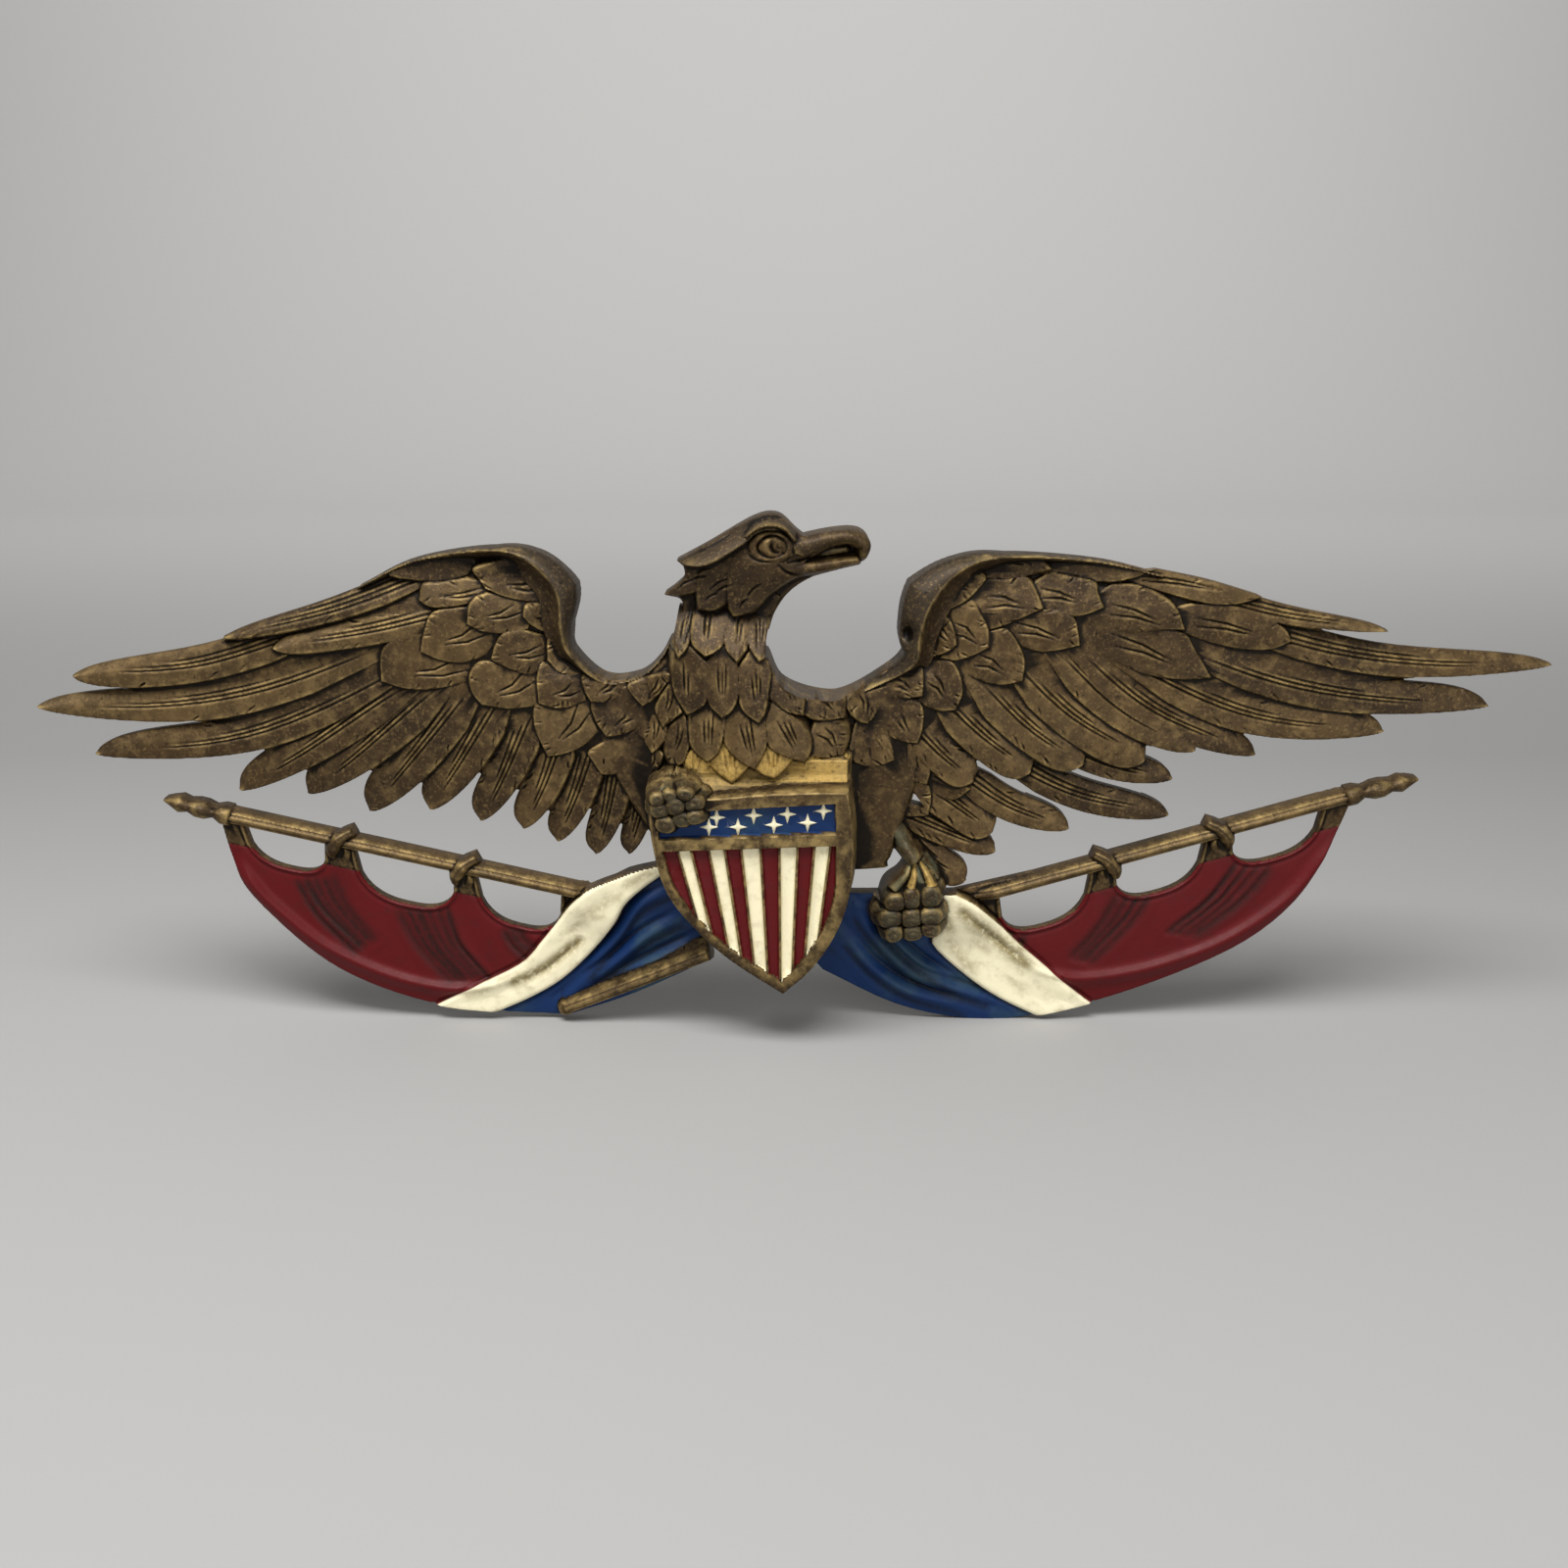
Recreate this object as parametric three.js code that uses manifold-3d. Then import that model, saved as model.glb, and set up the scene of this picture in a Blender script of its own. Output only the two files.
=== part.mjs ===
// A cast wall plaque: a spread eagle perched on a striped shield, with a furled flag on a pole at each side.
// Millimetres, +Z up. The back is the plane y = 0 and the relief rises from it toward -Y.
import * as THREE from 'three';
import { mergeVertices } from 'three/addons/utils/BufferGeometryUtils.js';
import Module from 'manifold-3d';

const wasm = await Module();
wasm.setup();

// Driving dimensions: heights are measured forward from the back plane
const TIP_HEIGHT = 10; // the wing at its outer tips
const WING_HEIGHT = 19; // the wing over its coverts
const TRAILING_FALL = 0.14; // how fast the wing sinks below z = 0
const RIM_HEIGHT = 26; // the rolled leading edge at the inside of the wrist
const WEB_HEIGHT = 11; // the plain web of the wing behind its rolled edge
const TROUGH = 4.5; // the hollow that runs under the rolled edge
const BREAST_HEIGHT = 37;
const BREAST_FALL = 15; // how far the breast falls at BREAST_HALF from its middle
const BREAST_HALF = 46;
const HEAD_HEIGHT = 28;
const BROW_HEIGHT = 35;
const SHIELD_HEIGHT = 45;
const SHIELD_RECESS = 3;
const FLAG_HEIGHT = 9;
const FOLD_HEIGHT = 12;
const BAND_HEIGHT = 13;
const POLE_HEIGHT = 14;
const POLE_HALF = 3.9;
const GAP_STEPS = 7;
const GAP_LEAN = 6; // each gap under a pole leans this far toward the shield
const QUILL_STEP = 1.4; // a feather's free edge stands this much over its middle
const BEHIND = 3; // every form runs this far behind the back plane before it is trimmed
const WING_CLEAR = 7; // the back of the wing stands this far off the wall by the body
const TIP_CLEAR = 4.5; // and this far at its tips
const FLAG_CLEAR = 4;
const HEAD_CLEAR = 12;
const WALL = 7; // left in front of the pocket behind the shield
const OUTSIDE = 400; // beyond the plaque on every side
const TIPS_FROM = 345; // the back of the wing keeps TIP_CLEAR beyond this far out
const ARM_TO = 130;
const ARM_FROM = 84;
const PAD_HALF = 66; // half the width of the pad that bears on the wall
const LOW_PAD_HALF = 60;
const FLAG_TOP = -26; // between the wings' backs and the flags'
const NECK_FROM = 48;

const LEFT = 1; // the free edge of a feather is on this side of its quill
const RIGHT = -1;

// Small maths
const mix = (a, b, t) => a + (b - a) * t;

function ease(from, to, value) {
  const t = Math.min(1, Math.max(0, (value - from) / (to - from)));
  return t * t * (3 - 2 * t);
}

// A value that changes along a strip: a number, or a list spread evenly over 0 to 1
function along(value, t) {
  if (!Array.isArray(value)) return value;
  const place = t * (value.length - 1);
  const i = Math.min(value.length - 2, Math.floor(place));
  return mix(value[i], value[i + 1], place - i);
}

// A smooth curve through a few points of the plaque's plane
function curveThrough(points) {
  const stops = points.map(([x, z]) => new THREE.Vector3(x, 0, z));
  return new THREE.CatmullRomCurve3(stops, false, 'catmullrom', 0.5);
}

// An outline is a list of runs: each run is smooth, and runs meet in corners
function outlineOf(runs, perSpan = 2) {
  return runs.flatMap((run) => {
    const steps = run.length > 2 ? (run.length - 1) * perSpan : 1;
    return curveThrough(run).getPoints(steps).slice(0, -1).map((p) => [p.x, p.z]);
  });
}

// The general height of wings and breast under the feathers
function surface(x, z) {
  const out = Math.abs(x);
  const innerRim = x < 0 ? -85 - x : x - 74;
  const underRim = ease(16, 2, innerRim) * ease(28, 40, z);
  const underTop = ease(58, 80, z) * ease(215, 185, out);
  const wing = mix(TIP_HEIGHT, WING_HEIGHT, ease(335, 130, out)) - TRAILING_FALL * Math.max(0, -z);
  const middle = mix(2, -12, ease(20, 60, z));
  const crest = BREAST_HEIGHT - 0.0025 * (z - 5) ** 2;
  const breast = crest - BREAST_FALL * ((x - middle) / BREAST_HALF) ** 2;
  return Math.max(wing - TROUGH * Math.max(underRim, underTop), breast);
}

// Solids
function solidFrom(geometry) {
  geometry.deleteAttribute('normal');
  geometry.deleteAttribute('uv');
  const merged = mergeVertices(geometry, 1e-4);
  const triVerts = new Uint32Array(merged.index.array);
  const vertProperties = merged.attributes.position.array;
  const made = new wasm.Manifold(new wasm.Mesh({ numProp: 3, vertProperties, triVerts }));
  if (made.volume() > 0) return made;
  return new wasm.Manifold(new wasm.Mesh({ numProp: 3, vertProperties, triVerts: triVerts.reverse() }));
}

// Rows of [x, z, height] points make the top of a solid with straight walls down to behind the back plane
function solidFromRows(rows) {
  const wide = rows[0].length;
  const count = rows.length * wide;
  const top = rows.flat().flatMap(([x, z, height]) => [x, -height, z]);
  const bottom = rows.flat().flatMap(([x, z]) => [x, BEHIND, z]);
  const index = [];
  const quad = (a, b, c, d) => index.push(a, b, c, a, c, d);
  for (let i = 0; i + 1 < rows.length; i++) {
    for (let j = 0; j + 1 < wide; j++) {
      const a = i * wide + j;
      quad(a, a + 1, a + wide + 1, a + wide);
      quad(count + a, count + a + wide, count + a + wide + 1, count + a + 1);
    }
  }
  const rim = [];
  for (let j = 0; j < wide - 1; j++) rim.push(j);
  for (let i = 0; i < rows.length - 1; i++) rim.push(i * wide + wide - 1);
  for (let j = wide - 1; j > 0; j--) rim.push((rows.length - 1) * wide + j);
  for (let i = rows.length - 1; i > 0; i--) rim.push(i * wide);
  rim.forEach((a, i) => {
    const b = rim[(i + 1) % rim.length];
    quad(b, a, count + a, count + b);
  });
  const geometry = new THREE.BufferGeometry();
  geometry.setAttribute('position', new THREE.Float32BufferAttribute([...top, ...bottom], 3));
  geometry.setIndex(index);
  return solidFrom(geometry);
}

// A strip follows a spine. Its section is a list of [across, rise]: across runs from -1 to 1 of the half width
function strip({ spine, stops = 6, half, height, section }) {
  const curve = curveThrough(spine);
  const places = Array.isArray(stops) ? stops : [...Array(stops + 1).keys()].map((i) => i / stops);
  const rows = places.map((t) => {
    const p = curve.getPoint(t);
    const way = curve.getTangent(t);
    return section.map(([across, rise]) => {
      const reach = across * (typeof half === 'function' ? half(t, across) : along(half, t));
      const x = p.x - way.z * reach;
      const z = p.z + way.x * reach;
      const level = typeof height === 'function' ? height(t, x, z) : along(height, t);
      return [x, z, level + rise];
    });
  });
  return solidFromRows(rows);
}

// A plate is an outline raised to a height, with its upper edge rounded off
function plate(outline, height, round = 0, drop = round) {
  const shape = new THREE.Shape(outline.map(([x, z]) => new THREE.Vector2(x, z)));
  const geometry = new THREE.ExtrudeGeometry(shape, {
    depth: height - drop + BEHIND,
    bevelEnabled: round > 0,
    bevelThickness: drop,
    bevelSize: round,
    bevelOffset: -round,
    bevelSegments: 1,
  });
  geometry.translate(0, 0, -BEHIND);
  geometry.rotateX(Math.PI / 2);
  return solidFrom(geometry);
}

// A rounded knob, such as a knuckle or an eye
function knob(x, z, height, wide, tall, deep) {
  const geometry = new THREE.SphereGeometry(1, 6, 4);
  geometry.scale(wide, deep, tall);
  geometry.translate(x, deep - height, z);
  return solidFrom(geometry);
}

// Feathers
const QUILL_STOPS = [0, 0.4, 0.7, 0.9, 1];
const COVERT_STOPS = [0, 0.6, 0.88, 1];

// One feather from its root to its tip. free and tucked say how long each edge stays wide: low numbers
// make a point and high ones a blunt end. It lies low at its root and high at its tip, like a shingle.
function feather({
  root,
  tip,
  half,
  side,
  free = 4,
  tucked = 4,
  bend = 0,
  slim = 1,
  lift = [-3, 1.5],
  step = QUILL_STEP,
  level = surface,
}) {
  const [dx, dz] = [tip[0] - root[0], tip[1] - root[1]];
  const length = Math.hypot(dx, dz);
  const middle = [
    (root[0] + tip[0]) / 2 - (side * bend * dz) / length,
    (root[1] + tip[1]) / 2 + (side * bend * dx) / length,
  ];
  const width = (t, across) => {
    const sharpness = across * side > 0 ? free : tucked;
    return Math.max(0.5, half * Math.min(1, 0.6 + 1.5 * t) * mix(1, slim, t) * (1 - t ** sharpness) ** 0.6);
  };
  return strip({
    spine: [root, middle, tip],
    stops: length > 60 ? QUILL_STOPS : COVERT_STOPS,
    half: width,
    height: (t, x, z) => level(x, z) + mix(lift[0], lift[1], t),
    section: [
      [-1, -0.6 - side * step],
      [0, 0.5],
      [1, -0.6 + side * step],
    ],
  });
}

// A row of feathers: one for each tip, with the roots spread evenly along a line
function featherRow({ tips, roots, half, ...rest }) {
  return tips.map((tip, i) => {
    const t = tips.length > 1 ? i / (tips.length - 1) : 0;
    const root = curveThrough(roots).getPoint(t);
    return feather({ root: [root.x, root.z], tip, half: along(half, t), ...rest });
  });
}

const BLUNT = { free: 12, tucked: 12 };

// The wing at the viewer's left
function leftWing() {
  const side = LEFT;
  const primaries = [
    feather({ side, tip: [-309, 31], root: [-190, 55], half: 8.3, free: 9, tucked: 3, bend: 6 }),
    feather({ side, tip: [-327, 16.5], root: [-160, 48], half: 9.2, free: 4, tucked: 4, bend: 12 }),
    feather({ side, tip: [-303, -5.5], root: [-148, 42], half: 8.6, free: 4, tucked: 10, bend: 12.5 }),
  ];
  const secondaries = featherRow({
    side,
    tips: [
      [-238, -22.5], [-206, -23.5], [-178, -32], [-150, -31], [-127, -36.5], [-107.5, -40.5], [-92, -47],
      [-74.5, -53.5], [-59, -53.5],
    ],
    roots: [[-150, 33], [-118, 28], [-82, 6], [-50, -13]],
    half: [9.5, 11.5, 11, 9.5, 9, 8.5, 6.5],
    free: 3.2,
    tucked: 12,
    bend: 1.2,
  });
  const leading = [
    feather({ side, tip: [-238, 49], root: [-140, 79.5], half: 7, slim: 0.45, free: 9, tucked: 6, bend: 3 }),
    feather({ side, tip: [-172, 72], root: [-116, 86], half: 6, slim: 0.6, free: 5, tucked: 9, bend: -1 }),
  ];
  const longCoverts = [
    feather({ side, tip: [-215.5, 44.5], root: [-122, 64], half: 9, slim: 0.55, ...BLUNT, bend: 1 }),
    feather({ side, tip: [-168, 34.5], root: [-112, 46], half: 9, slim: 0.9, ...BLUNT, bend: 3 }),
  ];
  const coverts = [
    ...featherRow({
      side,
      tips: [[-149.5, 68.5], [-130, 60], [-104, 58]],
      roots: [[-118, 71], [-102, 62], [-90, 52]],
      half: [6, 9, 7],
      ...BLUNT,
    }),
    ...featherRow({
      side,
      tips: [[-150, 48], [-119, 44], [-94, 42]],
      roots: [[-112, 51], [-95, 45], [-83, 38]],
      half: [9.5, 9, 8],
      ...BLUNT,
    }),
    ...featherRow({
      side,
      tips: [[-128, 27], [-99.5, 26], [-77, 24]],
      roots: [[-98, 32], [-76, 30], [-52, 24.5]],
      half: [10, 9.5, 5.5],
      ...BLUNT,
    }),
    ...featherRow({
      side,
      tips: [[-97, -4.5], [-69, 4.5], [-71, -13]],
      roots: [[-74, 24], [-54, 24], [-52, 8]],
      half: [12, 9, 9],
      free: 6,
      tucked: 10,
    }),
  ];
  const arm = strip({
    spine: [[-66, 0], [-104, 26], [-150, 34], [-215, 24], [-285, 24]],
    stops: 6,
    half: [12, 30, 46, 26, 5],
    height: (t, x, z) => surface(x, z) - 3.5,
    section: [[-1, -2], [0, 0], [1, -2]],
  });
  const web = plate(outlineOf([
    [[-170, 66], [-140, 76], [-112, 79], [-97, 73], [-89, 60], [-87, 46], [-82, 36], [-71, 27.5]],
    [[-71, 27.5], [-70, 0]],
    [[-70, 0], [-130, 10]],
    [[-130, 10], [-170, 66]],
  ], 1), WEB_HEIGHT);
  return [arm, web, ...primaries, ...secondaries, ...leading, ...longCoverts, ...coverts];
}

// The wing at the viewer's right
function rightWing() {
  const side = RIGHT;
  const primaries = [
    feather({ side, tip: [361, 36], root: [205, 58], half: 7.6, free: 3.4, tucked: 3.4, bend: 9 }),
    feather({ side, tip: [334.5, 17], root: [185, 47], half: 8.7, free: 3, tucked: 12, bend: 9 }),
    feather({ side, tip: [287.5, 5.5], root: [160, 44], half: 9, free: 4, tucked: 14, bend: 11 }),
  ];
  const secondaries = [
    feather({ side, tip: [229, -5], root: [142, 48], half: 8.6, free: 4, tucked: 9, bend: 7 }),
    feather({ side, tip: [201, -2.5], root: [132, 48], half: 9.5, free: 5, tucked: 9, bend: 5 }),
    feather({ side, tip: [178, -7], root: [116, 40], half: 10.5, ...BLUNT, bend: 4 }),
    feather({ side, tip: [150, -8.5], root: [99, 33], half: 10.5, ...BLUNT, bend: 3 }),
    feather({ side, tip: [126, -12.5], root: [84, 24], half: 10, ...BLUNT, bend: 2 }),
    feather({ side, tip: [100, -17], root: [70, 12], half: 9, ...BLUNT, bend: 1 }),
  ];
  const lower = [
    feather({ side, tip: [191.5, -16], root: [132, 4], half: 7.5, free: 4, tucked: 6, bend: 3 }),
    feather({ side, tip: [191.5, -34], root: [112, -6], half: 7.5, free: 5, tucked: 6, bend: 5 }),
    feather({ side, tip: [145.5, -40.5], root: [92, -12], half: 7.5, free: 4, tucked: 8, bend: 4 }),
    feather({ side, tip: [110.5, -42], root: [76, -18], half: 9.5, ...BLUNT }),
    feather({ side, tip: [112, -52], root: [66, -32], half: 7, free: 6, tucked: 9, bend: 1 }),
    feather({ side, tip: [99, -67], root: [62, -36], half: 8, ...BLUNT, bend: 3 }),
  ];
  const leading = [
    feather({ side, tip: [285, 51.5], root: [190, 72.5], half: 6, slim: 0.4, free: 9, tucked: 12, bend: 3 }),
    feather({ side, tip: [224, 65], root: [148, 77], half: 6, slim: 0.7, free: 5, tucked: 9, bend: 0 }),
    feather({ side, tip: [177, 77], root: [122, 81.5], half: 5.5, slim: 0.7, free: 5, tucked: 9, bend: -1 }),
  ];
  const longCoverts = [
    feather({ side, tip: [241, 47.5], root: [180, 60], half: 7.5, slim: 0.9, free: 8, tucked: 6, bend: 1 }),
    feather({ side, tip: [204, 36], root: [143, 53], half: 9.5, slim: 0.9, free: 9, tucked: 12, bend: 2 }),
    feather({ side, tip: [190, 57], root: [144, 65], half: 8, free: 9, tucked: 5, bend: 1 }),
  ];
  const coverts = [
    ...featherRow({
      side,
      tips: [[127.5, 65.5], [154.5, 67]],
      roots: [[97, 66], [122, 72]],
      half: [9, 7],
      ...BLUNT,
    }),
    ...featherRow({
      side,
      tips: [[90, 49], [105, 53.5], [146, 50]],
      roots: [[80, 49], [92, 56], [112, 54]],
      half: [8, 10, 8.5],
      ...BLUNT,
    }),
    ...featherRow({
      side,
      tips: [[75, 30.5], [92, 26], [121, 36]],
      roots: [[58, 25], [72, 32], [92, 42]],
      half: [8, 10, 8.5],
      ...BLUNT,
    }),
    ...featherRow({
      side,
      tips: [[76, 10], [79, -14]],
      roots: [[54, 15], [60, 4]],
      half: [10.5, 9.5],
      ...BLUNT,
    }),
    ...featherRow({
      side,
      tips: [[67.5, -18.5], [81, -26.5], [67.5, -37]],
      roots: [[45, -14], [62, -22], [44, -33]],
      half: [9, 8.5, 8.5],
      ...BLUNT,
    }),
  ];
  const arm = strip({
    spine: [[66, -8], [100, 24], [150, 36], [225, 34], [300, 34]],
    stops: 6,
    half: [14, 34, 46, 26, 5],
    height: (t, x, z) => surface(x, z) - 3.5,
    section: [[-1, -2], [0, 0], [1, -2]],
  });
  const web = plate(outlineOf([
    [[178, 70], [150, 76], [114, 78], [95, 73], [84, 63], [79, 50], [77, 38], [64, 26]],
    [[64, 26], [70, 0]],
    [[70, 0], [130, 10]],
    [[130, 10], [178, 70]],
  ], 1), WEB_HEIGHT);
  return [arm, web, ...primaries, ...secondaries, ...lower, ...leading, ...longCoverts, ...coverts];
}

// The rolled leading edge: a crest line, with a broad face turned out and a short one turned into the wing
function rolledEdges() {
  const edge = (spine, outer, inner, crest, facing) => strip({
    spine,
    stops: 14,
    half: (t, across) => along(across * facing > 0 ? outer : inner, t),
    height: crest,
    section: facing > 0 ? [[-1, -7], [0, 0], [1, -9]] : [[-1, -9], [0, 0], [1, -7]],
  });
  const leftSpine = [
    [-176, 71], [-150, 83], [
      -114.5, 88,
    ], [-97, 82.5], [-86.5, 70], [-85.4, 55], [-82.8, 43], [-68.5, 28.8], [-52, 30.5],
    [-42, 38.6], [-35.8, 50],
  ];
  const rightSpine = [
    [182, 76], [
      152, 82.6,
    ], [112, 85], [92, 80], [79.5, 67], [74, 52], [72.5, 39], [60, 29.5], [37, 20.8], [13.3, 27],
    [5.3, 42],
  ];
  const crest = [15, 17, 20, 24, RIM_HEIGHT, RIM_HEIGHT, 24, 19, 17, 17, 17];
  const inner = [3, 5, 8, 10, 10, 9, 7, 5, 3, 2, 1];
  return [
    edge(leftSpine, [1, 1.2, 1.6, 5.5, 8.5, 4.5, 2.5, 2, 1, 1, 1], inner, crest, LEFT),
    edge(rightSpine, [1, 1.2, 1.6, 5.5, 12, 9, 6, 4, 1.5, 1.5, 1], inner, crest, RIGHT),
  ];
}

// Neck and breast
function body() {
  const base = plate(outlineOf([
    [[-33, 64], [-36, 50], [-42, 39.5], [-50, 32], [-60, 28.5], [-76, 30]],
    [[-76, 30], [-68, -8], [-47, -46]],
    [[-47, -46], [-36, -62], [52, -61], [62, -57], [66, -46]],
    [[66, -46], [76, -10], [70, 33]],
    [[70, 33], [54, 27.5], [33, 21.8], [14, 27.6], [5.3, 43], [8, 61]],
  ], 1), 18, 3, 5);
  const neck = strip({
    spine: [[-8, 80], [-11.5, 61], [-14.5, 42], [-8, 25], [-3, 8], [0, -9]],
    stops: 5,
    half: [17, 19.5, 20.5, 24, 40, 44],
    height: [26, 28, 31, 33, 35, 36],
    section: [[-1, -17], [-0.75, -8], [-0.35, -2], [0.35, -2], [0.75, -8], [1, -17]],
  });
  const ledge = plate([[-27, -14], [-21, -4], [22, -4], [41, -9], [42, -12.5]], BREAST_HEIGHT - 4);
  const plain = { side: LEFT, step: 0, free: 3.2, tucked: 3.2, lift: [-1.5, 2] };
  const rows = [
    { tips: [[-32, 44], [-20, 44.5], [-8, 43], [2.5, 42]], roots: [[-26, 70], [0, 68]], half: 7 },
    { tips: [[-29, 18.5], [-14, 18.5], [3, 16]], roots: [[-29, 48], [2, 46]], half: 8.6 },
    {
      tips: [[-40, -5], [-20, -3], [0, -4.5], [20, -2.5]],
      roots: [[-36, 22], [16, 22]],
      half: [8, 10.5, 10.5, 10],
    },
    { tips: [[-27, -9.5], [-10, -11], [10, -9.5], [32, -8.5]], roots: [[-26, 8], [28, 10]], half: 10 },
  ].flatMap((row) => featherRow({ ...plain, ...row }));
  const flanks = [
    ...featherRow({
      side: RIGHT,
      tips: [[21, 18.5], [38, 15.5], [51.5, 13.5]],
      roots: [[5, 25.5], [33, 21], [50, 24]],
      half: [6, 9, 9],
      free: 8,
      tucked: 5,
    }),
    ...featherRow({
      side: RIGHT,
      tips: [[41, -1], [60, -6.5]],
      roots: [[24, 16], [46, 14]],
      half: 10,
      free: 8,
      tucked: 5,
    }),
    ...featherRow({
      side: LEFT,
      tips: [[-50, 20.5], [-45, 0.5]],
      roots: [[-38, 34], [-42, 22]],
      half: 8,
      free: 4,
      tucked: 5,
    }),
  ];
  return [base, neck, ledge, ...rows, ...flanks];
}

// The head in profile, its heavy brow and its hooked beak
function head() {
  const skull = plate(outlineOf([
    [
      [-33.6, 84.4], [-19.5, 91.9], [-5.6, 100.1], [1.4, 103.6], [7, 105], [12.5, 103.8], [18.4, 98.2],
      [21.8, 95.4],
    ],
    [[21.8, 95.4], [33, 97.7], [43, 98.5], [48.6, 96.5], [51.3, 91.5], [50, 86.5], [46.5, 82]],
    [[46.5, 82], [34.9, 79.6], [24, 75.5], [15.5, 69.5], [9.8, 61.5], [7, 54]],
    [[7, 54], [-12, 52], [-32, 57]],
    [[-32, 57], [-31.4, 64.5], [-34, 67.6], [-39, 69.2]],
    [[-39, 69.2], [-31.5, 73], [-28.6, 78.5], [-30, 81.5], [-33.6, 84.4]],
  ]), HEAD_HEIGHT - 8);
  const dome = strip({
    spine: [[-31, 77], [-12, 83], [6, 90], [24, 88.5]],
    stops: 6,
    half: [5, 13, 14, 7],
    height: [HEAD_HEIGHT - 3, HEAD_HEIGHT + 1, HEAD_HEIGHT + 3, HEAD_HEIGHT + 1],
    section: [[-1, -8], [-0.6, -2], [0, 0], [0.6, -2], [1, -8]],
  });
  const brow = strip({
    spine: [[-31.8, 85], [-18, 88.8], [-5, 95.4], [7, 100.2], [18, 95.6]],
    stops: 6,
    half: [2, 4.4, 5, 4.4, 3],
    height: [29, 32, BROW_HEIGHT, BROW_HEIGHT, 33],
    section: [[-1, -2], [-0.4, 0], [0.4, 0], [1, -5]],
  });
  const upperBeak = strip({
    spine: [[15, 91], [30, 93.2], [41, 95], [47.6, 92], [47.8, 86]],
    stops: 7,
    half: [4.6, 4.2, 3.6, 3.2, 1.6],
    height: [31, 33, 33, 32, 30],
    section: [[-1, -3], [-0.4, 0], [0.4, 0], [1, -3]],
  });
  const lowerBeak = strip({
    spine: [[12, 80.6], [28, 82.2], [44, 84.8]],
    stops: 4,
    half: [3, 2.8, 1.8],
    height: 30.5,
    section: [[-1, -3], [0, 0], [1, -1.5]],
  });
  const eyelid = knob(7, 91.2, 33, 8.6, 5.6, 5);
  const eye = knob(8.4, 91.6, 34, 4.8, 3.2, 3);
  const fringe = featherRow({
    side: LEFT,
    tips: [[-38.6, 69.8], [-23.6, 63.3], [-8.8, 60.5], [5, 59]],
    roots: [[-16, 86], [0, 84], [8, 80]],
    half: [4.5, 7, 8, 6],
    free: 4,
    tucked: 4,
    step: 0.4,
    lift: [-3, 2.5],
    level: () => HEAD_HEIGHT,
  });
  return [skull, dome, brow, upperBeak, lowerBeak, eyelid, eye, ...fringe];
}

// The shield, with a raised frame, a sunk field for the stars and sunk stripes parted by ribs
function shield() {
  const left = [[-46.5, -19], [-45.4, -38.4], [-39.7, -61.4], [-26.8, -79.5], [-11, -94.6], [13, -111]];
  const right = [[13, -111], [26, -98.9], [36.5, -82.8], [43, -63.7], [44.5, -38.4], [42, -15]];
  const face = plate(
    outlineOf([left, right, [[42, -15], [9.6, -15.8], [-22.4, -18.4], [-46.5, -20]]]),
    SHIELD_HEIGHT,
    1.2,
  );
  const floor = SHIELD_HEIGHT - SHIELD_RECESS;
  const sunk = (runs) => plate(outlineOf(runs), SHIELD_HEIGHT + BEHIND).trimByPlane([0, -1, 0], floor);
  const canton = sunk([
    [[-42.5, -25], [-42.5, -37.5]],
    [[-42.5, -37.5], [37, -34.6]],
    [[37, -34.6], [36.5, -20.6]],
    [[36.5, -20.6], [-42.5, -25]],
  ]);
  const stripes = sunk([
    [[-41, -42.7], [-35.5, -61], [-23.5, -77.5], [-9, -91], [12.5, -105.5]],
    [[12.5, -105.5], [22, -95], [31, -80.5], [36.5, -63], [37, -40]],
    [[37, -40], [-41, -42.7]],
  ]);
  // The ribs lean in toward the shield's point as they go down to the frame
  const ribs = [-34, -28, -20, -13, -5.5, 3, 11.5, 19.5, 27, 34].map((x) => {
    const low = -104 + Math.abs(x - 12.5) * (x < 12.5 ? 0.8 : 1.5);
    const foot = mix(x, 12.5, 0.0055 * (-42.5 - low));
    return strip({
      spine: [[x, -41], [foot, low]],
      stops: 1,
      half: 0.8,
      height: SHIELD_HEIGHT - 1.4,
      section: [[-1, 0], [1, 0]],
    });
  });
  return [face.subtract(canton).subtract(stripes), ...ribs];
}

// Talons: three toes of three knuckles each, gripping the shield's corner and the flag
function talons() {
  const grip = (x0, z0, dx, dz, lean, height) => {
    const toes = [];
    for (let toe = 0; toe < 3; toe++) {
      for (let knuckle = 0; knuckle < 3; knuckle++) {
        const x = x0 + dx * knuckle + lean * toe;
        const z = z0 - dz * toe;
        toes.push(knob(x, z, height - (knuckle === 1 ? 0 : 1.5), dx * 0.66, dz * 0.66, 7));
      }
    }
    return toes;
  };
  const leg = strip({
    spine: [[64, -38], [74, -56], [74, -70]],
    stops: 3,
    half: [6, 5.5, 13],
    height: [22, 24, 26],
    section: [[-1, -9], [-0.5, 0], [0.5, 0], [1, -9]],
  });
  const shank = strip({
    spine: [[-38, -4], [-35.5, -14]],
    stops: 2,
    half: [6.5, 9.5],
    height: [38, 46],
    section: [[-1, -5], [-0.4, 0], [0.4, 0], [1, -5]],
  });
  const sole = plate(
    outlineOf([
      [[58, -68], [88, -68]], [[88, -68], [88, -91]], [[88, -91], [58, -91]], [[58, -91], [58, -68]],
    ]),
    23,
  );
  return [leg, shank, sole, ...grip(62.5, -74, 10, 8, 0, 29), ...grip(-41.5, -11, 8.4, 8.2, 0.8, 50)];
}

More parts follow.
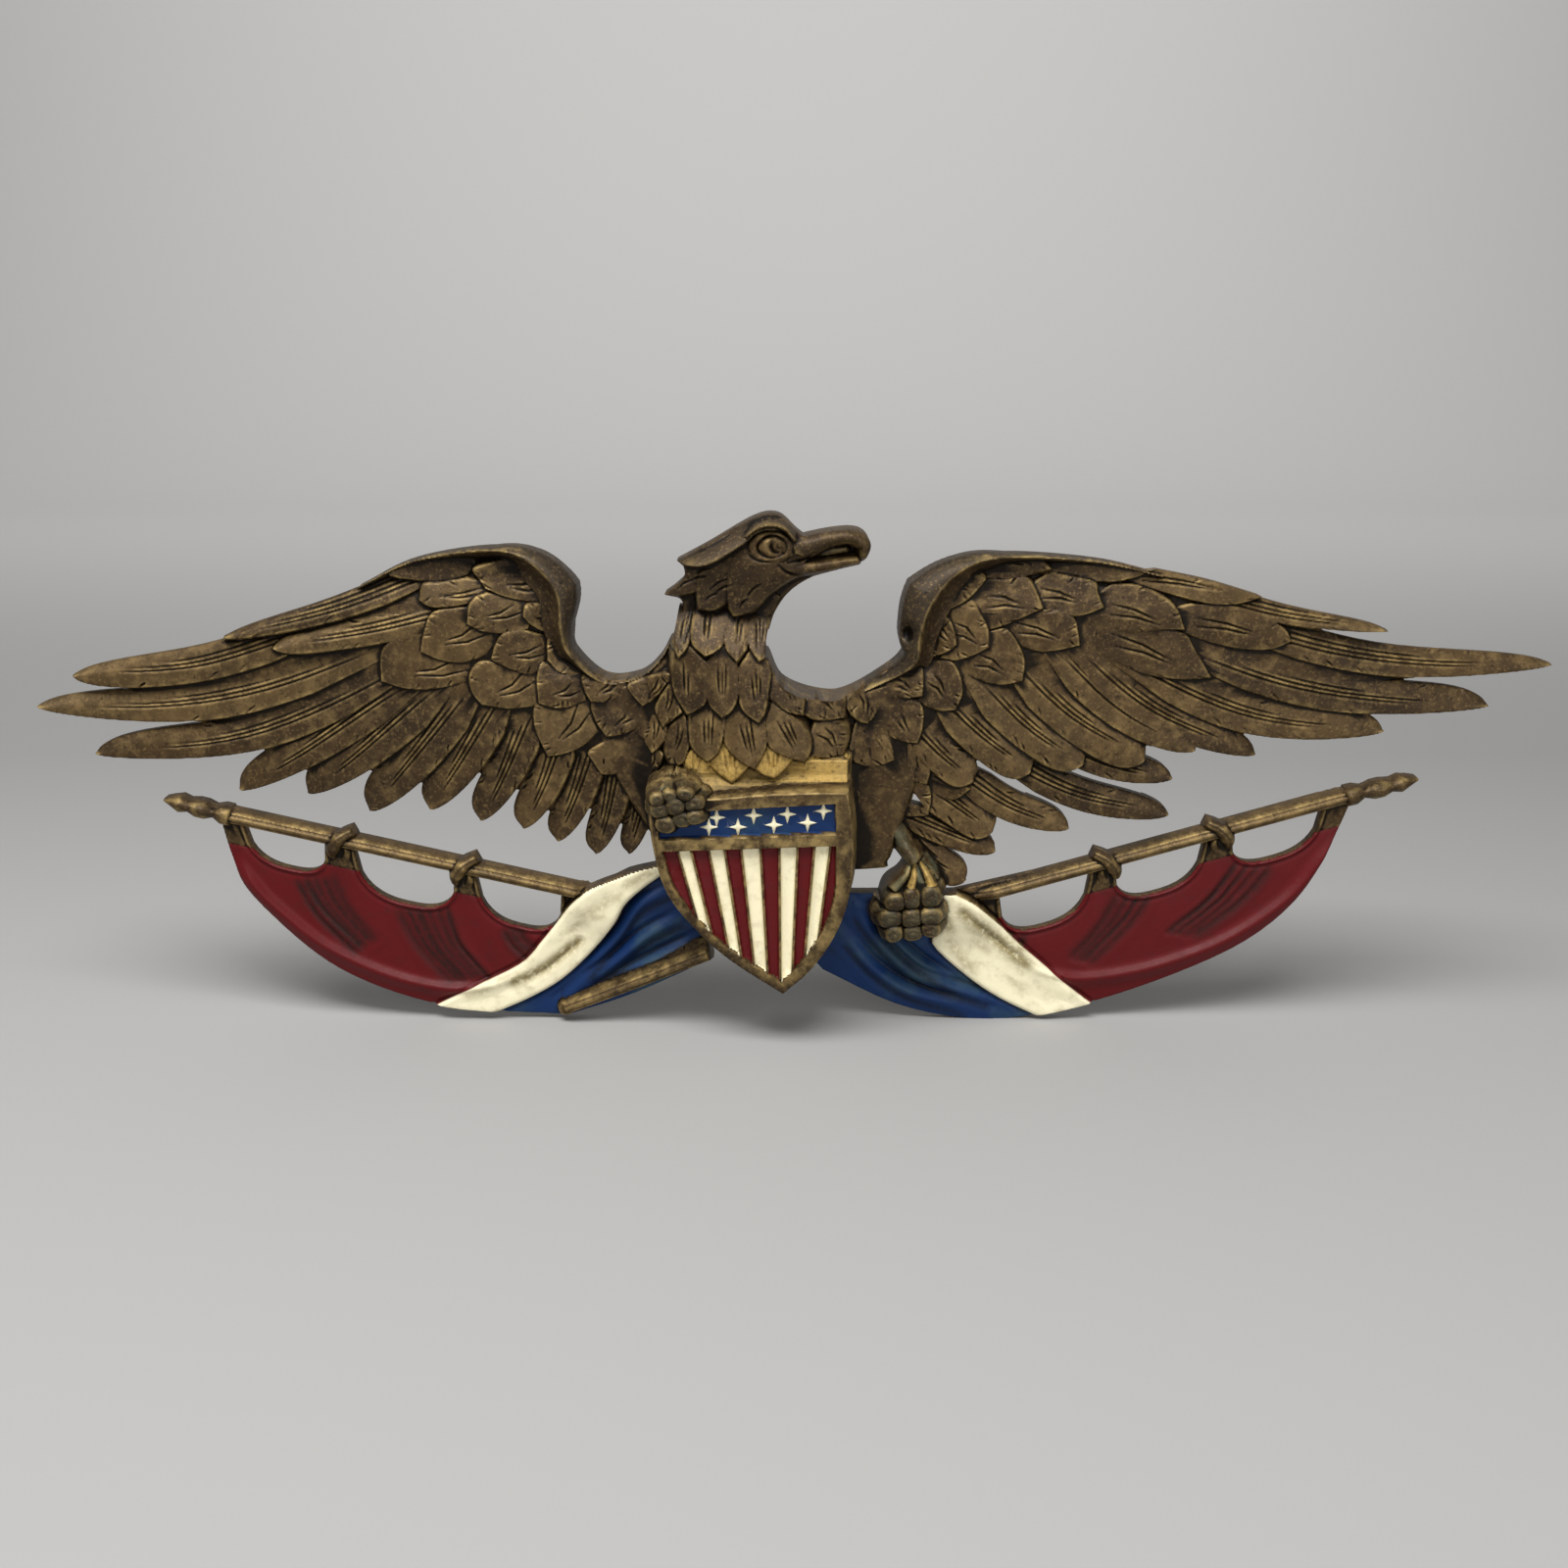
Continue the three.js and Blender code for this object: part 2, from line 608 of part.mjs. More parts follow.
// A flag hangs from its pole by ties at the rings, with a D-shaped gap between each pair
function flag({ from, to, finial, rings, gaps, outline, band, folds, hem }) {
  const length = Math.hypot(to[0] - from[0], to[1] - from[1]);
  const e = [(to[0] - from[0]) / length, (to[1] - from[1]) / length];
  const turn = Math.sign(e[0]);
  const down = [turn * e[1], -turn * e[0]];
  const place = (s, d) => [from[0] + e[0] * s + down[0] * d, from[1] + e[1] * s + down[1] * d];
  const round = [[-1, -6.5], [-0.55, -1], [0, 0], [0.55, -1], [1, -6.5]];

  let cloth = plate(outlineOf(outline, 1), FLAG_HEIGHT, 1.5);
  for (const fold of folds) {
    cloth = cloth.add(
      strip({
        spine: fold,
        stops: 3,
        half: [1, 3.2, 3.2, 1],
        height: [FLAG_HEIGHT, FOLD_HEIGHT, FOLD_HEIGHT, FLAG_HEIGHT],
        section: [[-1, -3], [0, 0], [1, -3]],
      }),
    );
  }
  cloth = cloth.add(
    strip({ spine: hem, stops: 6, half: 3.6, height: FOLD_HEIGHT, section: [[-1, -3.5], [0, 0], [1, -3.5]] }),
  );
  cloth = cloth.add(
    strip({
      spine: band.spine,
      stops: 5,
      half: band.half,
      height: BAND_HEIGHT,
      section: [[-1, -2.5], [-0.6, 0], [0.6, 0], [1, -2.5]],
    }),
  );
  for (const [start, end, depth] of gaps) {
    const points = [];
    for (let i = 0; i <= GAP_STEPS; i++) {
      const u = (i / GAP_STEPS) * 2 - 1;
      const bulge = (1 - Math.abs(u) ** 2.6) ** (1 / 2.6);
      points.push(place(mix(start, end, i / GAP_STEPS) + GAP_LEAN * bulge, POLE_HALF - 1 + depth * bulge));
    }
    cloth = cloth.subtract(plate(points, 40));
  }

  const pole = strip({ spine: [from, to], stops: 1, half: POLE_HALF, height: POLE_HEIGHT, section: round });
  const knots = rings.map((s) => strip({
    spine: [place(s + 3, -7), place(s, 0), place(s, 8)],
    stops: 3,
    half: [3.2, 4.2, 4.2, 3],
    height: [12, 17, 17, 12],
    section: [[-1, -4], [-0.4, 0], [0.4, 0], [1, -4]],
  }));
  const spear = strip({
    spine: [finial, place(2, 0)],
    stops: 8,
    half: [0.8, 2.9, 4.4, 3.4, 4.4, 4.4, 3.2, 4.8, 4.8],
    height: [10, 12, 14, 13, 15, 15, 13, 15.5, 15.5],
    section: [[-1, -5], [-0.5, -1], [0.5, -1], [1, -5]],
  });
  return [cloth, pole, ...knots, spear];
}

function flags() {
  const left = flag({
    from: [-246, -35.8],
    to: [-78, -74.7],
    finial: [-275, -28.5],
    rings: [54, 112.5],
    gaps: [[8, 46, 16.5], [60, 108, 21.5], [118, 161, 20.5]],
    outline: [
      [
        [-249.5, -38], [-245, -58], [-237.5, -75], [-211, -103.5], [-187, -119], [-156.5, -130],
        [-128, -134], [-90, -136],
      ],
      [[-90, -136], [-58, -125], [-20, -107]],
      [[-20, -107], [-24, -90], [-38, -61]],
      [[-38, -61], [-80, -74]],
      [[-80, -74], [-249.5, -38]],
    ],
    hem: [[-240, -60], [-229, -79], [-203, -101], [-172, -117], [-142, -124]],
    band: { spine: [[-44, -64], [-74, -80], [-99, -108], [-142, -131]], half: [3, 8.5, 11, 8, 1.5] },
    folds: [
      [[-172, -80], [-166, -94], [-150, -114]],
      [[-160, -84], [-152, -98], [-138, -112]],
      [[-205, -64], [-200, -78], [-188, -94]],
      [[-40, -76], [-66, -92], [-84, -112]],
      [[-36, -88], [-56, -102], [-72, -118]],
    ],
  });
  const right = flag({
    from: [276, -26.3],
    to: [104, -76],
    finial: [307.5, -18.6],
    rings: [62, 116],
    gaps: [[13, 56, 17.5], [69, 112, 19], [124, 170, 20.5]],
    outline: [
      [
        [277.5, -29], [270, -49], [255, -77.5], [233.5, -98], [201, -115], [162, -129.5], [127, -137.5],
        [100, -138], [67, -130.5], [32, -113],
      ],
      [[32, -113], [24, -100], [38, -74.5]],
      [[38, -74.5], [60, -74.5], [94, -73]],
      [[94, -73], [277.5, -29]],
    ],
    hem: [[264, -56], [248, -76], [223, -94.5], [188, -110], [152, -121]],
    band: { spine: [[95, -76], [101, -92], [120, -112], [150, -131.5]], half: [5, 9.5, 11.5, 9.5, 2] },
    folds: [
      [[190, -74], [182, -88], [164, -108]],
      [[178, -76], [168, -90], [152, -106]],
      [[234, -62], [226, -76], [208, -92]],
      [[48, -74], [62, -98], [104, -126]],
      [[44, -88], [56, -112], [92, -132]],
    ],
  });
  const stub = strip({
    spine: [[-91, -131], [-58, -117], [-22, -100.5]],
    stops: 3,
    half: 3.9,
    height: [16, 19, 24],
    section: [[-1, -6.5], [-0.55, -1], [0, 0], [0.55, -1], [1, -6.5]],
  });
  return [...left, ...right, stub];
}

// The casting is hollowed from behind, with a flat pad left at the middle that bears on the wall
function hollows() {
  // A list of [x, clearance] says how far the back stands off the wall across the plaque, from one z to another
  const relief = (clearances, fromZ, toZ) => {
    const reach = clearances.map(([x, clearance]) => new THREE.Vector2(x, -clearance));
    const start = new THREE.Vector2(reach[0].x, BEHIND);
    const end = new THREE.Vector2(reach[reach.length - 1].x, BEHIND);
    const geometry = new THREE.ExtrudeGeometry(new THREE.Shape([start, ...reach, end]), {
      depth: toZ - fromZ,
      bevelEnabled: false,
    });
    geometry.translate(0, 0, fromZ);
    return solidFrom(geometry);
  };
  const wing = (facing) => relief([
    [facing * OUTSIDE, TIP_CLEAR],
    [facing * TIPS_FROM, TIP_CLEAR],
    [facing * ARM_TO, WING_CLEAR],
    [facing * ARM_FROM, WING_CLEAR],
    [facing * PAD_HALF, 0],
  ], FLAG_TOP, OUTSIDE);
  const flag = (facing) => relief([
    [facing * OUTSIDE, FLAG_CLEAR],
    [facing * PAD_HALF, FLAG_CLEAR],
    [facing * LOW_PAD_HALF, 0],
  ], -OUTSIDE, FLAG_TOP);
  const neck = relief([[-LOW_PAD_HALF, HEAD_CLEAR], [LOW_PAD_HALF, HEAD_CLEAR]], NECK_FROM, OUTSIDE);
  const behindShield = plate(
    [[30, -26], [31, -58], [12, -92], [-24, -64], [-30, -26]],
    SHIELD_HEIGHT - SHIELD_RECESS - WALL,
  );
  return [wing(-1), wing(1), flag(-1), flag(1), neck, behindShield];
}

// The whole casting is one solid, trimmed flat at the back
function casting() {
  const forms = [
    ...leftWing(),
    ...rightWing(),
    ...rolledEdges(),
    ...body(),
    ...head(),
    ...shield(),
    ...talons(),
    ...flags(),
  ];
  return wasm.Manifold.union(forms).trimByPlane([0, -1, 0], 0).subtract(wasm.Manifold.union(hollows()));
}

function meshOf(solid, name, material) {
  const mesh = solid.getMesh();
  const geometry = new THREE.BufferGeometry();
  geometry.setAttribute('position', new THREE.BufferAttribute(mesh.vertProperties, 3));
  geometry.setIndex(new THREE.BufferAttribute(mesh.triVerts, 1));
  geometry.computeVertexNormals();
  const made = new THREE.Mesh(geometry, material);
  made.name = name;
  return made;
}

const paintedAluminium = new THREE.MeshStandardMaterial({ color: 0x7a6547, roughness: 0.5, metalness: 0.4 });

const group = new THREE.Group();
group.add(meshOf(casting(), 'eagle_plaque', paintedAluminium));

export default group;
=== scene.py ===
import math
import bpy
import numpy as np
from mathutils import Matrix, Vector


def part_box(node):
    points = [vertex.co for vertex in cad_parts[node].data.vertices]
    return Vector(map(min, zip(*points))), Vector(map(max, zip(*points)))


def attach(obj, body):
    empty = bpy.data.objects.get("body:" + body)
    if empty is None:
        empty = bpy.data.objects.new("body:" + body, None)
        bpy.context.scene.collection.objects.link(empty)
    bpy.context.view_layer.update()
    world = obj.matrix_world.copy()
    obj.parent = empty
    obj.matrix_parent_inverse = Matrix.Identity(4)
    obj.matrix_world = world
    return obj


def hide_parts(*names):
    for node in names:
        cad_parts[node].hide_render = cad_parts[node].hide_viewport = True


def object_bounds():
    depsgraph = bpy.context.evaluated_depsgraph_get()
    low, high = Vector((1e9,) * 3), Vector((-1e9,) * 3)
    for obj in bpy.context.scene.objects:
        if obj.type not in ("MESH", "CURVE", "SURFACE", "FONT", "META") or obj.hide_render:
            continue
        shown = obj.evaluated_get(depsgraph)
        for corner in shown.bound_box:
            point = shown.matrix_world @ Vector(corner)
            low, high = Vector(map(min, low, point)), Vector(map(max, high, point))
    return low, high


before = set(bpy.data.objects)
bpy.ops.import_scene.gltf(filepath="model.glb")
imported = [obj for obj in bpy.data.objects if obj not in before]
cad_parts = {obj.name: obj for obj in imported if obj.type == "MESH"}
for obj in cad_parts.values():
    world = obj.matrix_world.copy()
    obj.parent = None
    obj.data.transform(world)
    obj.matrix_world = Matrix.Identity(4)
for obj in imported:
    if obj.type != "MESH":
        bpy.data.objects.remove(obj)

cad_low, cad_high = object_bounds()

# The pattern
# The whole plaque is one aluminium sand casting from a carved pattern, so it is carved here as a pattern is:
# one relief over one plane, in millimetres forward of the wall, form laid over form, and cast as one piece.
PITCH = 0.5  # between the points of the relief, about the smallest mark that the sand keeps
MARGIN = 4.0  # bare plane round the plaque
BEYOND = 2.4  # how far a form's flank is followed past its edge
FLANK = 3.2  # millimetres down for each one out
SOFT_EDGE = 0.8  # radius of a form's upper edge
node_low, node_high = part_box("eagle_plaque")
across_plaque = np.arange(node_low[0] * 1000 - MARGIN, node_high[0] * 1000 + MARGIN, PITCH)
up_plaque = np.arange(node_low[2] * 1000 - MARGIN, node_high[2] * 1000 + MARGIN, PITCH)
X, Z = np.meshgrid(across_plaque, up_plaque)
height = np.full(X.shape, -20.0)
inside = np.full(X.shape, -9.0)  # millimetres inside the outline, below zero outside it
# The tone mask is each feather's own tone, and also painted shade where the roll's hollow face and the head
# are darkened.
PAINTS = ("red", "white", "blue", "gold", "patina", "soil_and_shade", "tone", "bare")
paint = {name: np.zeros(X.shape) for name in PAINTS}
carver = np.random.default_rng(1782)


def lay(window, top, edge, rounding=SOFT_EDGE, flank=FLANK, grow=True, **paints):
    """Lays one form over what is there, its upper edge rounded and a steep flank down from it. The outline
    grows to take the form in, unless it only covers others."""
    soft = np.clip(rounding - edge, 0, rounding)
    rise = top - (rounding - np.sqrt(rounding**2 - soft**2)) - flank * np.maximum(0, -edge)
    over = (rise > height[window]) & (edge > -BEYOND)
    height[window] = np.where(over, rise, height[window])
    if grow:
        inside[window] = np.maximum(inside[window], edge)
    for name in PAINTS:
        paint[name][window] = np.where(over, paints.get(name, 0.0), paint[name][window])


# Wings
# Each wing is a fan of long quills under rows of shorter coverts. Every feather was carved tipped, its free
# edge over the next one, with fine cuts for its shaft and short nicks for its barbs.
LEFT, RIGHT = 1, -1
TIP_HEIGHT, WING_HEIGHT, TRAILING_FALL, TROUGH = 10, 19, 0.14, 4.5
BREAST_HEIGHT, BREAST_FALL, BREAST_HALF, BREAST_ROUND = 37, 15, 46, 0.0025
ARM_UNDER = 1.9  # the arm lies this much under the feathers
WEB_HEIGHT = 11.0
CURVE_STEPS, RUN_STEPS = 8, 4


def mix(a, b, t):
    """The value at t between a and b."""
    return a + (b - a) * t


def ease(start, end, value):
    """A soft rise from 0 at start to 1 at end."""
    t = np.clip((value - start) / (end - start), 0, 1)
    return t * t * (3 - 2 * t)


def surface(x, z):
    """The general height of wings and breast under the feathers."""
    out = np.abs(x)
    inner_rim = np.where(x < 0, -85 - x, x - 74)
    under_rim = ease(16, 2, inner_rim) * ease(28, 40, z)
    under_top = ease(58, 80, z) * ease(215, 185, out)
    wing = mix(TIP_HEIGHT, WING_HEIGHT, ease(335, 130, out)) - TRAILING_FALL * np.maximum(0, -z)
    middle = mix(2, -12, ease(20, 60, z))
    crest = BREAST_HEIGHT - BREAST_ROUND * (z - 5) ** 2
    breast = crest - BREAST_FALL * ((x - middle) / BREAST_HALF) ** 2
    return np.maximum(wing - TROUGH * np.maximum(under_rim, under_top), breast)


def spread(values, t):
    """A list of values spread evenly over t from 0 to 1, or one value."""
    if np.isscalar(values):
        return np.full_like(t, float(values))
    return np.interp(t, np.linspace(0, 1, len(values)), values)


def curve(points, steps=CURVE_STEPS):
    """A smooth curve through a few points, and its place from 0 to 1 at each step."""
    p = np.array(points, float)
    if len(p) == 2:
        return p, np.array([0.0, 1.0])
    ends = np.vstack([2 * p[0] - p[1], p, 2 * p[-1] - p[-2]])
    line = []
    for i in range(len(p) - 1):
        a, b, c, d = ends[i:i + 4]
        for u in np.arange(steps) / steps:
            line.append(0.5 * (2 * b + (c - a) * u + (2 * a - 5 * b + 4 * c - d) * u**2
                               + (3 * b - a - 3 * c + d) * u**3))
    line.append(p[-1])
    return np.array(line), np.linspace(0, 1, len(line))


def window_round(line, reach):
    """The part of the relief that lies within reach of a line."""
    low = line.min(axis=0) - reach
    high = line.max(axis=0) + reach
    columns = slice(*np.searchsorted(across_plaque, [low[0], high[0]]))
    rows = slice(*np.searchsorted(up_plaque, [low[1], high[1]]))
    return rows, columns


def follow(spine, reach):
    """Where each point near a spine lies: its place along it from 0 to 1, millimetres along and across it."""
    line, places = curve(spine)
    window = window_round(line, reach)
    x, z = X[window], Z[window]
    nearest = np.full(x.shape, np.inf)
    t, s, across = np.zeros(x.shape), np.zeros(x.shape), np.zeros(x.shape)
    gone = 0.0
    for i in range(len(line) - 1):
        start, way = line[i], line[i + 1] - line[i]
        length = math.hypot(*way)
        u = ((x - start[0]) * way[0] + (z - start[1]) * way[1]) / length**2
        v = np.clip(u, 0, 1)
        off = (x - start[0] - v * way[0]) ** 2 + (z - start[1] - v * way[1]) ** 2
        near = off < nearest
        nearest = np.where(near, off, nearest)
        u = u if i in (0, len(line) - 2) else v
        u = np.maximum(u, 0) if i else u
        u = np.minimum(u, 1) if i < len(line) - 2 else u
        t = np.where(near, mix(places[i], places[i + 1], v), t)
        s = np.where(near, gone + u * length, s)
        across = np.where(near, ((z - start[1]) * way[0] - (x - start[0]) * way[1]) / length, across)
        gone += length
    return window, t, s, across, gone


def rounded(drop, power):
    """A profile that falls by a drop at both edges, flatter over its middle the higher its power."""
    return lambda u: drop * np.abs(u) ** power


def strip(spine, half, level, profile, **paints):
    """A form that follows a spine: half is its half width and profile its drop, from -1 to 1 across it."""
    window, t, s, across, length = follow(spine, np.max(half) + 3)
    wide = spread(half, t)
    edge = np.minimum(wide - np.abs(across), np.minimum(s, length - s))
    u = np.clip(across / np.maximum(wide, 0.1), -1, 1)
    top = (level(X[window], Z[window]) if callable(level) else spread(level, t)) - profile(u)
    lay(window, top, edge, **paints)


for spine, half in [
    ([(-66, 0), (-104, 26), (-150, 34), (-215, 24), (-285, 24)], [12, 30, 46, 26, 5]),
    ([(66, -8), (100, 24), (150, 36), (225, 34), (300, 34)], [14, 34, 46, 26, 5]),
]:
    strip(spine, half, lambda x, z: surface(x, z) - ARM_UNDER, rounded(2.4, 3))


def outline(runs, steps=RUN_STEPS):
    """A closed outline of smooth runs that meet in corners."""
    return np.vstack([curve(run, steps)[0][:-1] for run in runs])


def within(points, reach=3.0):
    """How far each point near an outline lies inside it, below zero outside."""
    window = window_round(points, reach)
    x, z = X[window], Z[window]
    nearest = np.full(x.shape, np.inf)
    odd = np.zeros(x.shape, bool)
    for a, b in zip(points, np.roll(points, -1, axis=0)):
        way = b - a
        v = np.clip(((x - a[0]) * way[0] + (z - a[1]) * way[1]) / max(way @ way, 1e-9), 0, 1)
        nearest = np.minimum(nearest, (x - a[0] - v * way[0]) ** 2 + (z - a[1] - v * way[1]) ** 2)
        if a[1] != b[1]:
            crosses = (z >= min(a[1], b[1])) & (z < max(a[1], b[1]))
            odd ^= crosses & (x < a[0] + (z - a[1]) / way[1] * way[0])
    return window, np.sqrt(nearest) * np.where(odd, 1, -1)


for web_runs in [
    [[(-170, 67), (-140, 79), (-112, 83), (-97, 77), (-89, 62), (-87, 46), (-82, 36), (-71, 27.5)],
     [(-71, 27.5), (-70, 0)], [(-70, 0), (-130, 10)], [(-130, 10), (-170, 67)]],
    [[(178, 70), (150, 76), (114, 78), (95, 73), (84, 63), (79, 50), (77, 38), (64, 26)],
     [(64, 26), (70, 0)], [(70, 0), (130, 10)], [(130, 10), (178, 70)]],
]:
    window, edge = within(outline(web_runs))
    lay(window, np.full(edge.shape, WEB_HEIGHT), edge)

# A graver raises a low lip on both sides of its cut: its height as a share of the depth, its place in widths.
LIP_SHARE, LIP_PLACE = 0.22, 2.2
SHAFT_CUT, SHAFT_HALF, SHAFT_LIP = 0.72, 0.45, 0.15
QUILL_NICKS, COVERT_NICKS, PLUME_NICKS = 7, 6, 3
QUILL_STEP, QUILL_CROWN, QUILL_RISE = 1.9, 1.1, (-3, 1.5)
BLUNT = {"free": 12, "tucked": 12}


def ridge(off, wide):
    """A soft ridge: 1 at its crest, and all but gone at twice its width."""
    return np.exp(-((off / wide) ** 2))


def engrave(top, u, v, path, depth, wide):
    """Cuts a tapering stroke along a short path, with its lips."""
    nearest = np.full(u.shape, np.inf)
    place = np.zeros(u.shape)
    count = len(path) - 1
    for i, ((u0, v0), (u1, v1)) in enumerate(zip(path, path[1:])):
        du, dv = u1 - u0, v1 - v0
        w = np.clip(((u - u0) * du + (v - v0) * dv) / max(du * du + dv * dv, 1e-6), 0, 1)
        off = (u - u0 - w * du) ** 2 + (v - v0 - w * dv) ** 2
        place = np.where(off < nearest, (i + w) / count, place)
        nearest = np.minimum(nearest, off)
    strength = depth * np.sin(np.pi * np.clip(place, 0.06, 0.94)) ** 0.5
    top -= strength * np.exp(-nearest / wide**2)
    top += LIP_SHARE * strength * ridge(np.sqrt(nearest) - LIP_PLACE * wide, wide)


def cut_shaft(top, t, s, across, half, length, side):
    """Long quills: a thin shaft between two cuts, and a third cut beside it."""
    wander = 0.35 * np.sin(s / 14 + carver.uniform(0, 6))
    for offset, start, end in ((0.8, 0.05, 0.88), (-0.8, 0.02, 0.84), (-2.6 * side, 0.12, 0.7)):
        fade = ease(start, start + 0.08, t) * ease(end, end - 0.14, t)
        off = np.abs(across - (offset * mix(1.6, 0.6, t) + wander))
        top -= SHAFT_CUT * fade * ridge(off, SHAFT_HALF)
        top += SHAFT_LIP * fade * ridge(off - 1.0, 0.4)
    for _ in range(QUILL_NICKS):
        edge = half * carver.choice((-1, 1))
        place = carver.uniform(0.3, 0.93) * length
        deep = carver.uniform(2.5, 6)
        path = [(place, edge * 0.97), (place - deep * 0.5, edge * 0.93 - math.copysign(deep * 0.3, edge)),
                (place - deep, edge * 0.9 - math.copysign(deep * 0.4, edge))]
        engrave(top, s, across, path, carver.uniform(0.4, 0.75), 0.42)


def feather(root, tip, half, side, free=4, tucked=4, bend=0, slim=1):
    """One long quill from its root to its tip, low at the root and high at the tip, as a shingle lies."""
    length = math.dist(root, tip)
    dx, dz = tip[0] - root[0], tip[1] - root[1]
    middle = ((root[0] + tip[0]) / 2 - side * bend * dz / length,
              (root[1] + tip[1]) / 2 + side * bend * dx / length)
    window, t, s, across, length = follow([root, middle, tip], half + 4)
    sharpness = np.where(across * side > 0, free, tucked)

    def half_at(t):
        t = np.clip(t, 0, 1)
        swell = half * np.minimum(1, 0.6 + 1.5 * t)
        return np.maximum(0.5, swell * mix(1, slim, t) * (1 - t**sharpness) ** 0.6)

    wide = half_at(t)
    slope = (half_at(t + 0.01) - half_at(t - 0.01)) / (0.02 * length)
    edge = (wide - np.abs(across)) / np.sqrt(1 + slope**2)
    edge = np.minimum(edge, np.minimum(length - s, s * 0.6))
    u = np.clip(across / wide, -1, 1)
    top = surface(X[window], Z[window]) + mix(*QUILL_RISE, t) + 0.5
    top = top - QUILL_CROWN * np.abs(u) ** 1.6 + side * QUILL_STEP * u
    cut_shaft(top, t, s, across, half * mix(1, slim, 0.5), length, side)
    lay(window, top, edge, 0.5, tone=carver.uniform(-1, 1))


def feather_row(tips, roots, halves, **rest):
    """A row of quills: one for each tip, with the roots spread evenly along a line."""
    line, places = curve(roots)
    for i, tip in enumerate(tips):
        t = i / (len(tips) - 1)
        root = (np.interp(t, places, line[:, 0]), np.interp(t, places, line[:, 1]))
        feather(root, tip, np.interp(t, np.linspace(0, 1, len(halves)), halves), **rest)


feather((-190, 55), (-309, 31), 8.3, LEFT, free=9, tucked=3, bend=6)
feather((-160, 48), (-327, 16.5), 9.2, LEFT, bend=12)
feather((-148, 42), (-303, -5.5), 8.6, LEFT, tucked=10, bend=12.5)
feather_row([(-238, -22.5), (-206, -23.5), (-178, -32), (-150, -31), (-127, -36.5), (-107.5, -40.5),
             (-92, -47), (-74.5, -53.5), (-59, -53.5)],
            [(-150, 33), (-118, 28), (-82, 6), (-50, -13)], [9.5, 11.5, 11, 9.5, 9, 8.5, 6.5],
            side=LEFT, free=3.2, tucked=12, bend=1.2)
feather((-140, 79.5), (-238, 49), 7, LEFT, slim=0.45, free=9, tucked=6, bend=3)
feather((-122, 64), (-215.5, 44.5), 9, LEFT, slim=0.55, bend=1, **BLUNT)


def cut_veins(top, u, v, root, tip, edge, wide):
    """Coverts: two strokes that close toward the tip, and nicks in from the edge."""
    root, tip = np.array(root, float), np.array(tip, float)
    way = (tip - root) / np.linalg.norm(tip - root)
    side = np.array((-way[1], way[0]))
    length = np.linalg.norm(tip - root)
    lean = carver.uniform(-0.06, 0.1) * wide * math.copysign(1, root[0] - tip[0])
    for gap in (0.13, -0.08):
        start = root + way * length * carver.uniform(0.2, 0.34) + side * (wide * gap + lean)
        stop = root + way * length * carver.uniform(0.66, 0.76) + side * (wide * gap * 0.3 + lean * 0.4)
        bow = (start + stop) / 2 + side * 0.05 * wide
        engrave(top, u, v, [start, bow, stop], 0.85, 0.48)
    for _ in range(COVERT_NICKS):
        spot = edge[int(len(edge) * carver.uniform(0.12, 0.88))]
        inward = (root - spot) / np.linalg.norm(root - spot)
        turn = carver.uniform(-0.7, 0.7)
        inward = np.array((inward[0] - turn * inward[1], inward[1] + turn * inward[0]))
        stop = spot + inward * carver.uniform(2, 4.2)
        engrave(top, u, v, [spot, (spot + stop) / 2, stop], carver.uniform(0.4, 0.8), 0.4)


def plume(root, first, tip, second, lift=(-2.4, 1.3), cuts=cut_veins, level=surface, grow=False, **paints):
    """A short feather by the edge that shows: from the root down one side to the tip and up the other."""
    one, other = curve([*first, tip], 5)[0], curve([tip, *second], 5)[0]
    edge_line = np.vstack([one, other[1:]])
    window, edge = within(np.vstack([edge_line, [root]]))
    u, v = X[window], Z[window]
    way = np.array(tip, float) - root
    length = math.hypot(*way)
    t = ((u - root[0]) * way[0] + (v - root[1]) * way[1]) / length**2
    aside = ((edge_line - root) @ np.array((-way[1], way[0]))) / length
    top = level(u, v) + mix(*lift, np.clip(t, 0, 1.05))
    top -= 0.35 * (1 - np.clip(edge / 1.6, 0, 1)) ** 2
    if cuts:
        cuts(top, u, v, root, tip, edge_line, aside.max() - aside.min())
    paints.setdefault("tone", carver.uniform(-1, 1))
    lay(window, top, edge, 0.35, grow=grow, **paints)


